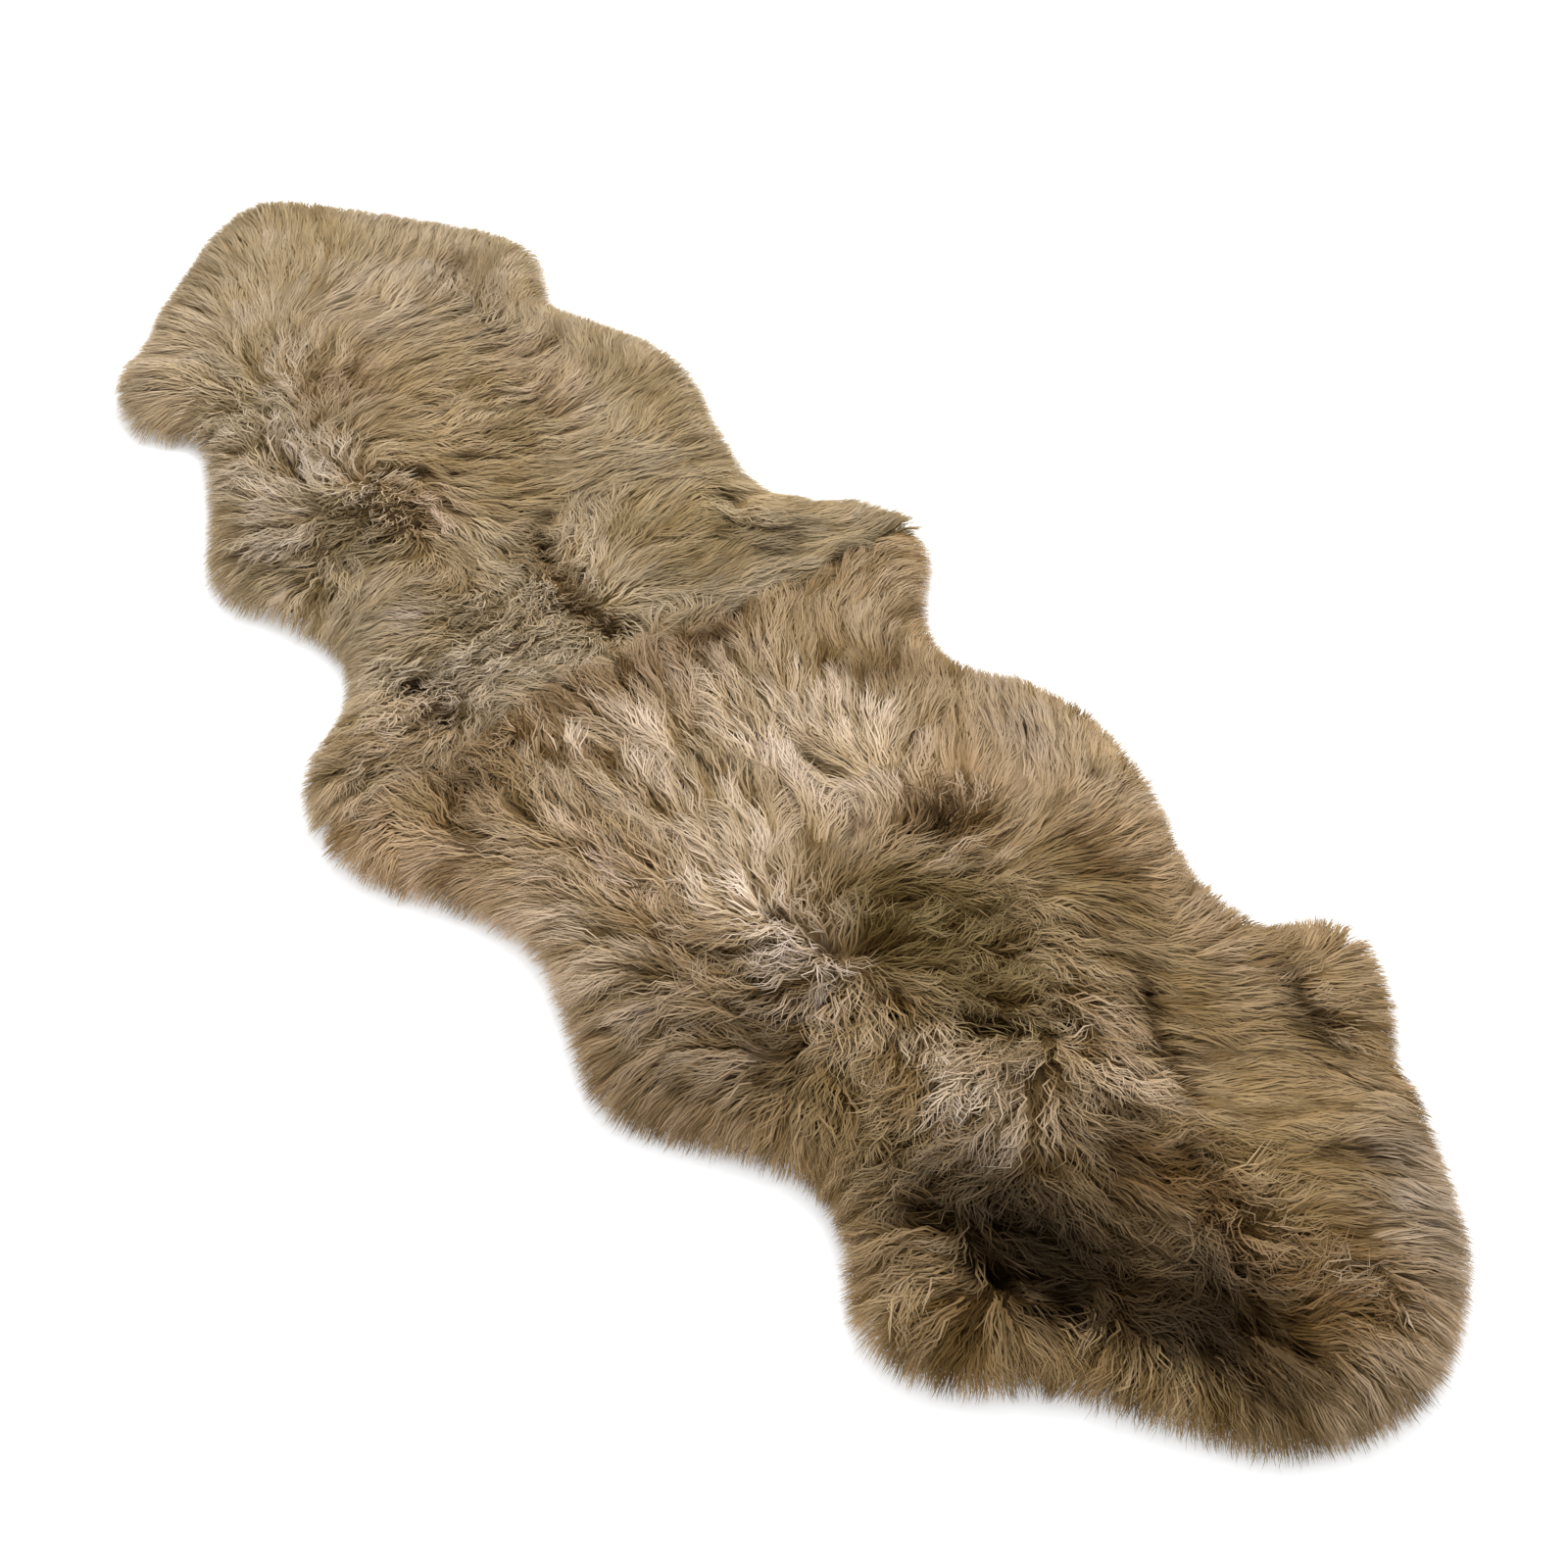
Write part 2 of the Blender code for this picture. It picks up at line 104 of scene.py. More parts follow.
# Which way the tips of the wool point, seen from above.
NAP = [Nap(*row) for row in (
    (-0.83, -0.01, -1.0, 0.0), (-0.81, 0.03, -0.9, 0.5), (-0.8, -0.05, -1.0, 0.0),
    (-0.77, -0.08, -0.8, -0.6), (-0.76, 0.04, -0.8, 0.6), (-0.74, -0.04, -1.0, 0.3),
    (-0.73, -0.12, -0.9, -0.4), (-0.71, 0.01, -0.7, 0.7), (-0.71, 0.13, -0.7, 0.7), (-0.7, 0.08, -0.4, 0.9),
    (-0.7, -0.04, -1.0, 0.2), (-0.69, -0.15, -0.6, -0.8), (-0.68, 0.01, 0.1, 1.0), (-0.66, 0.1, -0.5, 0.8),
    (-0.65, -0.07, -1.0, 0.2), (-0.62, -0.18, -0.6, -0.8), (-0.62, 0.19, -0.7, 0.7),
    (-0.62, -0.12, -0.9, -0.3), (-0.6, -0.04, -0.9, 0.5), (-0.6, 0.03, 0.3, 0.9), (-0.58, 0.14, 0.1, 1.0),
    (-0.57, 0.17, -0.9, 0.5), (-0.57, -0.01, -0.5, 0.9), (-0.55, -0.15, -0.7, -0.7),
    (-0.54, 0.04, 0.2, 1.0), (-0.54, 0.12, 0.3, 1.0), (-0.52, -0.02, -0.4, 0.9), (-0.52, 0.18, -0.9, 0.4),
    (-0.51, -0.18, -0.8, -0.6), (-0.49, 0.1, 0.3, 0.9), (-0.49, -0.11, -0.9, 0.5), (-0.49, -0.01, 0.4, 0.9),
    (-0.47, 0.14, 0.0, 1.0), (-0.46, 0.21, -0.9, 0.5), (-0.46, 0.06, 0.5, 0.9), (-0.45, -0.19, -0.7, -0.7),
    (-0.43, -0.12, -1.0, 0.1), (-0.42, -0.04, 0.7, 0.7), (-0.42, 0.24, -0.7, 0.7), (-0.42, 0.03, 0.0, 1.0),
    (-0.4, 0.16, -0.8, 0.6), (-0.4, -0.25, 0.1, -1.0), (-0.39, -0.18, -0.3, -0.9), (-0.38, 0.14, 0.3, 0.9),
    (-0.37, -0.11, 0.2, -1.0), (-0.36, -0.05, 0.8, 0.5), (-0.36, 0.03, 0.6, 0.8),
    (-0.35, -0.21, -0.1, -1.0), (-0.34, 0.19, 0.0, 1.0), (-0.33, 0.1, 0.5, 0.9), (-0.32, 0.17, -0.7, 0.7),
    (-0.32, -0.14, 0.9, -0.5), (-0.31, 0.02, 0.6, 0.8), (-0.3, -0.11, -0.1, -1.0), (-0.29, -0.06, 1.0, 0.2),
    (-0.27, -0.11, 0.6, -0.8), (-0.27, -0.2, 0.9, -0.4), (-0.27, 0.14, 0.3, 1.0), (-0.27, -0.23, 0.4, -0.9),
    (-0.26, -0.15, 0.5, -0.9), (-0.26, 0.08, 0.1, 1.0), (-0.23, -0.12, -0.3, -1.0), (-0.23, 0.0, 0.9, 0.4),
    (-0.22, -0.21, 0.5, -0.9), (-0.21, 0.04, -0.9, 0.5), (-0.21, -0.05, 1.0, 0.1), (-0.2, 0.1, -0.3, 1.0),
    (-0.2, -0.17, -0.1, -1.0), (-0.17, -0.1, 0.2, -1.0), (-0.16, -0.22, 0.1, -1.0),
    (-0.15, 0.04, -0.5, 0.9), (-0.15, 0.07, 0.5, 0.9), (-0.15, -0.05, 0.9, -0.3), (-0.14, 0.19, 1.0, 0.2),
    (-0.13, -0.13, 0.7, -0.7), (-0.11, -0.17, 0.1, -1.0), (-0.11, -0.05, 0.5, -0.9),
    (-0.11, 0.22, 0.6, 0.8), (-0.1, 0.12, -0.1, 1.0), (-0.09, 0.06, 0.6, 0.8), (-0.08, -0.14, 0.9, -0.5),
    (-0.08, -0.08, 0.3, -1.0), (-0.07, 0.1, 0.6, 0.8), (-0.06, -0.02, 0.9, -0.5), (-0.05, 0.15, 0.3, 0.9),
    (-0.05, -0.08, -0.7, -0.7), (-0.03, 0.27, 0.1, 1.0), (-0.02, 0.05, -0.9, 0.5),
    (-0.01, -0.02, -1.0, 0.0), (-0.01, 0.13, -0.8, 0.6), (0.01, 0.28, 0.2, 1.0), (0.02, 0.2, -0.5, 0.9),
    (0.02, -0.07, -0.9, -0.4), (0.05, 0.25, -0.7, 0.8), (0.05, 0.05, -1.0, 0.2), (0.05, -0.14, -1.0, -0.1),
    (0.06, 0.14, -0.8, 0.6), (0.1, 0.17, -0.7, 0.7), (0.1, -0.02, -1.0, 0.0), (0.11, 0.08, -0.9, 0.4),
    (0.11, -0.09, -1.0, 0.1), (0.12, 0.22, -0.7, 0.7), (0.13, -0.15, -1.0, -0.1), (0.13, 0.13, -0.9, 0.4),
    (0.13, 0.04, -1.0, 0.2), (0.14, -0.19, -0.8, -0.7), (0.15, 0.09, -0.9, 0.4), (0.17, 0.19, -0.8, 0.6),
    (0.17, -0.02, -0.9, 0.4), (0.17, -0.1, -1.0, -0.1), (0.2, 0.23, -0.8, 0.6), (0.2, -0.06, -1.0, 0.3),
    (0.2, 0.14, -0.6, 0.8), (0.21, -0.14, -1.0, -0.2), (0.22, -0.21, -0.7, -0.7), (0.23, 0.06, -0.9, -0.3),
    (0.24, -0.1, -1.0, 0.0), (0.25, -0.05, -0.7, 0.7), (0.25, 0.27, -0.9, 0.3), (0.25, 0.19, -0.8, 0.6),
    (0.28, 0.06, -0.9, 0.5), (0.28, -0.15, -0.9, -0.5), (0.29, 0.03, -0.3, 1.0), (0.29, -0.05, -0.6, 0.8),
    (0.3, -0.22, -0.1, -1.0), (0.31, 0.22, -0.8, 0.6), (0.31, 0.15, -0.5, 0.9), (0.31, 0.05, 0.7, 0.7),
    (0.32, -0.12, -0.7, -0.7), (0.33, 0.27, -1.0, 0.3), (0.32, -0.04, -0.2, 1.0), (0.35, -0.03, 0.1, 1.0),
    (0.34, 0.11, 0.0, 1.0), (0.35, -0.24, 0.1, -1.0), (0.29, -0.09, -0.4, -0.9), (0.32, -0.08, 0.0, -1.0),
    (0.36, -0.07, 0.1, -1.0), (0.36, -0.16, -0.7, -0.7), (0.37, 0.22, -0.1, 1.0), (0.38, 0.06, 0.6, 0.8),
    (0.39, -0.11, 0.2, -1.0), (0.39, 0.11, 0.6, 0.8), (0.4, -0.02, 0.7, 0.7), (0.4, 0.16, 0.3, 0.9),
    (0.41, -0.2, 0.2, -1.0), (0.41, -0.06, 0.7, -0.7), (0.43, 0.14, 1.0, -0.2), (0.45, 0.0, 0.9, 0.4),
    (0.46, -0.16, 0.8, -0.6), (0.47, -0.21, 0.7, -0.7), (0.47, 0.13, 0.6, 0.8), (0.48, -0.06, 0.6, -0.8),
    (0.49, 0.2, -0.2, 1.0), (0.49, 0.03, 0.9, 0.4), (0.49, -0.11, 0.8, -0.6), (0.49, -0.01, -0.3, -0.9),
    (0.47, -0.04, 0.3, -1.0), (0.51, 0.11, 0.9, 0.3), (0.53, -0.08, 0.5, -0.9), (0.55, -0.03, 0.7, -0.7),
    (0.53, -0.02, 0.9, -0.5), (0.53, -0.14, 0.2, -1.0), (0.54, 0.04, 1.0, 0.2), (0.56, 0.28, -0.5, 0.9),
    (0.55, 0.17, 0.6, 0.8), (0.56, 0.22, 0.1, 1.0), (0.57, -0.14, -0.7, -0.7), (0.57, -0.09, 0.1, -1.0),
    (0.57, 0.08, 0.7, 0.7), (0.59, -0.18, -0.5, -0.9), (0.6, 0.01, 0.9, 0.4), (0.6, 0.27, -0.1, 1.0),
    (0.61, -0.1, 0.9, 0.4), (0.64, -0.08, 0.9, 0.5), (0.62, 0.24, 0.7, 0.7), (0.62, -0.21, -0.1, -1.0),
    (0.62, 0.06, 0.9, 0.5), (0.64, -0.01, 0.8, -0.6), (0.64, 0.11, 0.6, 0.8), (0.65, 0.03, 0.2, 1.0),
    (0.65, 0.2, 0.9, 0.4), (0.65, -0.23, 0.6, -0.8), (0.66, -0.17, 0.1, -1.0), (0.66, -0.04, 0.9, 0.4),
    (0.68, 0.08, 0.7, 0.7), (0.68, -0.13, 0.8, 0.7), (0.69, -0.18, 0.9, -0.5), (0.7, 0.13, 0.6, 0.8),
    (0.71, -0.07, 0.9, 0.5), (0.72, 0.2, 0.8, 0.6), (0.72, 0.01, 0.9, -0.3), (0.73, 0.05, 0.3, 1.0),
    (0.73, -0.11, -0.1, -1.0), (0.74, 0.09, 0.9, 0.5), (0.75, -0.04, 0.9, 0.3), (0.77, -0.11, 0.6, -0.8),
    (0.78, 0.04, 0.6, 0.8), (0.79, 0.09, 0.6, 0.8), (0.79, 0.17, 0.8, 0.6), (0.81, -0.03, 1.0, 0.0),
    (0.82, 0.13, 0.9, 0.4), (0.83, 0.06, 1.0, 0.0), (0.87, 0.08, 0.9, 0.4),
)]
NAP_REACH = 0.030           # how far round its point each row counts

# Where the wool is pressed down or piled up, seen from above.
LUMPS = [Lump(*row) for row in (
    (-0.637, 0.17, 0.045, -0.004), (-0.549, -0.038, 0.05, -0.006), (-0.39, -0.077, 0.06, 0.005),
    (-0.23, 0.02, 0.045, -0.006), (-0.12, -0.175, 0.045, -0.005), (0.005, -0.207, 0.035, -0.01),
    (0.11, 0.175, 0.05, -0.005), (0.284, 0.11, 0.022, -0.012), (0.12, 0.0, 0.12, 0.004),
    (0.35, -0.19, 0.05, -0.006), (0.52, -0.075, 0.06, 0.005), (0.6, 0.105, 0.02, -0.008),
    (0.64, 0.215, 0.03, -0.009), (0.69, -0.095, 0.05, -0.01), (0.7, 0.12, 0.08, 0.006),
)]

# Wool colours as they look from a step away, as sRGB from 0 to 255.
COLOURS = {
    "olive": (145, 130, 105),
    "taupe": (133, 113, 84),
    "cream": (180, 163, 140),
    "pink_grey": (153, 138, 121),
    "grey": (116, 101, 83),
    "straw": (131, 113, 79),
    "sand": (156, 134, 108),
    "golden": (122, 102, 69),
    "brown": (97, 75, 46),
    "moss": (90, 75, 46),
    # umber and deep are partly painted shade, for hollows and wool that leans away from the light
    "umber": (57, 44, 27),
    "deep": (30, 23, 13),
}

# What each wisp's colour is multiplied by at its root, middle and tip, where the wool is smooth and where it
# is deep. The dark roots are painted shade deep in the wool; the pale tips are partly their own colour and
# partly painted highlight.
SOFT_ROOT, DEEP_ROOT = (0.98, 0.86, 0.64), (0.52, 0.40, 0.21)
SOFT_MIDDLE, DEEP_MIDDLE = (1.12, 1.08, 1.01), (0.88, 0.81, 0.69)
SOFT_TIP, DEEP_TIP = (0.98, 0.98, 0.98), (1.18, 1.19, 1.22)

# Where the wool has another colour. The umber and deep patches are partly painted shade, where the wool lies
# in a hollow or leans away from the light. In this table and the next two, long and wide are the radii of a
# patch, and turn is in degrees from along the rug.
PATCHES = [Patch(*row) for row in (
    (-0.88, 0.05, 0.04, 0.09, 0, "straw", 0.4), (-0.69, -0.165, 0.11, 0.05, -30, "cream", 0.5),
    (-0.46, 0.04, 0.12, 0.1, 0, "straw", 0.8), (-0.63, 0.07, 0.09, 0.07, 0, "cream", 0.3),
    (-0.34, 0.02, 0.11, 0.09, 0, "straw", 0.8), (-0.65, 0.18, 0.03, 0.022, 0, "brown", 0.5),
    (-0.54, 0.13, 0.09, 0.014, -3, "brown", 0.25), (-0.56, -0.032, 0.05, 0.042, 20, "brown", 0.8),
    (-0.56, -0.07, 0.07, 0.014, -15, "brown", 0.5), (-0.56, 0.0, 0.05, 0.03, 0, "golden", 0.5),
    (-0.44, 0.15, 0.08, 0.035, 0, "sand", 0.6), (-0.776, 0.077, 0.016, 0.011, 0, "brown", 0.8),
    (-0.8, 0.09, 0.05, 0.035, 0, "straw", 0.7), (-0.482, 0.195, 0.025, 0.012, -40, "brown", 0.6),
    (-0.574, -0.17, 0.025, 0.014, 40, "umber", 0.3), (-0.47, -0.11, 0.06, 0.03, 10, "pink_grey", 0.6),
    (-0.42, -0.19, 0.11, 0.04, -10, "pink_grey", 0.5), (-0.38, -0.24, 0.11, 0.022, 0, "straw", 0.3),
    (-0.375, 0.025, 0.012, 0.035, 0, "brown", 0.6), (-0.35, -0.075, 0.06, 0.04, -10, "sand", 0.35),
    (-0.47, 0.02, 0.2, 0.09, 0, "sand", 0.3), (-0.33, -0.15, 0.05, 0.034, -20, "moss", 0.7),
    (-0.32, -0.06, 0.036, 0.04, 0, "sand", 0.8), (-0.23, -0.11, 0.07, 0.06, 0, "golden", 0.6),
    (-0.34, 0.225, 0.09, 0.034, 0, "straw", 0.6), (-0.61, 0.175, 0.07, 0.04, 0, "grey", 0.4),
    (-0.165, 0.15, 0.08, 0.08, -25, "straw", 0.8), (-0.09, 0.185, 0.045, 0.09, 0, "moss", 0.45),
    (-0.195, 0.042, 0.05, 0.024, -25, "cream", 0.35), (-0.25, 0.028, 0.028, 0.009, -45, "umber", 0.6),
    (-0.16, -0.005, 0.095, 0.022, -3, "brown", 0.7), (-0.13, -0.07, 0.08, 0.05, 0, "grey", 0.3),
    (-0.12, -0.172, 0.036, 0.026, 0, "umber", 0.4), (-0.08, -0.2, 0.04, 0.08, 0, "pink_grey", 0.6),
    (-0.215, -0.15, 0.05, 0.014, -45, "pink_grey", 0.5), (-0.085, -0.24, 0.045, 0.06, 0, "taupe", 0.7),
    (-0.012, 0.03, 0.034, 0.085, 0, "brown", 0.95), (0.01, -0.085, 0.03, 0.05, 0, "cream", 0.3),
    (-0.026, -0.12, 0.014, 0.09, 0, "brown", 0.9), (0.045, 0.235, 0.035, 0.05, 0, "cream", 0.3),
    (0.13, 0.02, 0.13, 0.15, 0, "cream", 0.7), (0.1, 0.182, 0.055, 0.022, 20, "brown", 0.8),
    (0.05, 0.13, 0.03, 0.022, 20, "golden", 0.7), (0.27, 0.125, 0.09, 0.075, 0, "sand", 0.8),
    (0.28, 0.124, 0.036, 0.03, 50, "brown", 0.9), (0.312, 0.086, 0.012, 0.012, 0, "pink_grey", 0.8),
    (0.284, 0.106, 0.024, 0.017, 50, "deep", 1.0), (0.105, -0.045, 0.026, 0.012, 0, "golden", 0.8),
    (0.19, 0.0, 0.08, 0.018, 0, "golden", 0.6), (0.15, -0.085, 0.06, 0.016, 10, "golden", 0.4),
    (0.08, 0.045, 0.03, 0.01, 0, "golden", 0.6), (0.17, 0.115, 0.06, 0.03, -30, "cream", 0.8),
    (0.04, -0.102, 0.022, 0.012, 0, "brown", 0.9), (0.11, -0.148, 0.045, 0.012, -5, "golden", 0.8),
    (0.18, -0.16, 0.09, 0.03, 0, "sand", 0.8), (0.005, -0.205, 0.055, 0.045, 0, "brown", 0.4),
    (0.1, -0.255, 0.07, 0.035, 15, "sand", 0.6), (0.005, -0.207, 0.016, 0.01, 0, "umber", 0.9),
    (0.01, -0.31, 0.08, 0.03, 0, "sand", 0.7), (0.28, 0.04, 0.035, 0.065, 0, "brown", 0.4),
    (0.335, 0.0, 0.05, 0.045, 20, "moss", 0.95), (0.312, -0.064, 0.034, 0.016, 20, "golden", 0.95),
    (0.286, -0.072, 0.01, 0.008, 0, "deep", 0.9), (0.334, -0.06, 0.012, 0.009, 0, "umber", 0.8),
    (0.4, 0.155, 0.06, 0.03, 0, "golden", 0.5), (0.08, 0.16, 0.05, 0.022, 20, "golden", 0.6),
    (0.4, 0.08, 0.09, 0.03, 0, "golden", 0.6), (0.44, 0.15, 0.15, 0.04, -5, "moss", 0.45),
    (0.39, 0.03, 0.11, 0.07, -5, "moss", 1.0), (0.47, 0.01, 0.075, 0.045, 0, "moss", 0.7),
    (0.655, 0.008, 0.065, 0.04, 20, "umber", 1.0), (0.56, -0.06, 0.04, 0.05, 0, "pink_grey", 0.6),
    (0.415, -0.165, 0.09, 0.03, 0, "umber", 0.95), (0.27, -0.19, 0.07, 0.018, 0, "umber", 0.3),
    (0.22, -0.24, 0.11, 0.04, 0, "cream", 0.6), (0.36, -0.235, 0.1, 0.05, 0, "grey", 0.6),
    (0.34, -0.095, 0.055, 0.045, -40, "pink_grey", 0.9), (0.305, -0.068, 0.016, 0.01, 0, "umber", 0.5),
    (0.25, -0.09, 0.055, 0.035, 0, "cream", 0.9), (0.29, 0.268, 0.12, 0.026, 0, "cream", 0.4),
    (0.46, 0.22, 0.13, 0.034, -5, "sand", 0.6), (0.24, 0.235, 0.06, 0.03, 0, "pink_grey", 0.5),
    (0.4, 0.19, 0.045, 0.012, 0, "brown", 0.7), (0.43, -0.055, 0.02, 0.04, 0, "golden", 0.8),
    (0.48, -0.155, 0.07, 0.05, 0, "golden", 0.8), (0.505, -0.072, 0.065, 0.02, 0, "cream", 0.6),
    (0.62, 0.14, 0.13, 0.05, -20, "golden", 0.35), (0.555, 0.065, 0.05, 0.024, -20, "sand", 0.5),
    (0.575, 0.105, 0.085, 0.006, -27, "umber", 0.8), (0.625, 0.218, 0.06, 0.012, -16, "umber", 0.6),
    (0.74, 0.1, 0.1, 0.05, -20, "golden", 0.6), (0.805, 0.165, 0.07, 0.04, -35, "pink_grey", 0.9),
    (0.72, 0.02, 0.09, 0.034, 0, "brown", 0.8), (0.82, 0.065, 0.06, 0.06, 0, "brown", 0.95),
    (0.8, -0.005, 0.06, 0.026, 0, "umber", 0.8), (0.895, 0.07, 0.02, 0.09, 0, "pink_grey", 0.6),
    (0.715, -0.075, 0.165, 0.07, 18, "umber", 0.9), (0.675, -0.098, 0.125, 0.042, 20, "deep", 1.0),
    (0.79, -0.06, 0.09, 0.05, 15, "umber", 0.95), (0.78, -0.045, 0.05, 0.03, -15, "deep", 0.8),
    (0.64, -0.165, 0.11, 0.03, 0, "umber", 0.6), (0.66, -0.235, 0.06, 0.03, 0, "golden", 0.6),
    (0.6, -0.146, 0.04, 0.014, 10, "deep", 0.9), (0.69, -0.18, 0.03, 0.02, -40, "golden", 0.8),
    (0.8, -0.11, 0.1, 0.025, 32, "golden", 0.7), (0.82, 0.07, 0.02, 0.014, 0, "cream", 0.35),
)]

# How the wool feels: 0 is smooth and 1 is tufted or curly.
FEELS = [Feel(*row) for row in (
    (-0.58, 0.135, 0.08, 0.02, 0, 0.5, 0.5), (-0.5, -0.12, 0.13, 0.06, 0, 0.8, 0.4),
    (-0.57, -0.05, 0.06, 0.04, 0, 0.6, 0.4), (-0.56, -0.14, 0.05, 0.03, 0, 0.5, 0.5),
    (-0.43, 0.06, 0.09, 0.08, 0, 0.3, 0.3), (-0.37, -0.08, 0.07, 0.04, 0, 0.9, 0.8),
    (-0.36, -0.18, 0.08, 0.05, 0, 0.5, 0.3), (-0.2, 0.06, 0.06, 0.04, 0, 0.6, 0.1),
    (-0.16, -0.005, 0.11, 0.03, 0, 0.3, 1.0), (-0.15, -0.085, 0.09, 0.055, 0, 0.2, 0.8),
    (-0.12, -0.175, 0.05, 0.045, 0, 0.8, 0.9), (-0.15, 0.18, 0.05, 0.03, 0, 0.6, 0.4),
    (-0.09, -0.25, 0.05, 0.05, 0, 0.6, 0.3), (-0.01, 0.0, 0.04, 0.28, 0, 0.8, 0.1),
    (0.12, 0.0, 0.15, 0.16, 0, 0.5, 0.1), (0.02, -0.2, 0.07, 0.06, 0, 0.8, 0.5),
    (0.25, -0.15, 0.18, 0.06, 0, 0.8, 0.2), (0.36, -0.09, 0.08, 0.06, 0, 0.9, 0.2),
    (0.29, 0.105, 0.04, 0.03, 0, 0.8, 0.4), (0.316, -0.062, 0.04, 0.02, 20, 1.0, 1.0),
    (0.42, 0.035, 0.11, 0.07, 0, 0.9, 0.6), (0.54, 0.02, 0.08, 0.05, 0, 0.9, 0.4),
    (0.5, -0.08, 0.09, 0.07, 0, 0.9, 0.35), (0.72, 0.03, 0.1, 0.035, 0, 1.0, 0.6),
    (0.69, -0.08, 0.15, 0.06, 20, 0.9, 0.35), (0.64, -0.18, 0.08, 0.04, 0, 0.7, 0.1),
    (0.825, 0.07, 0.025, 0.02, 0, 0.8, 1.0), (0.63, 0.21, 0.07, 0.022, 0, 0.5, 0.2),
)]
SMOOTH = 0.15               # how tufted the wool is elsewhere

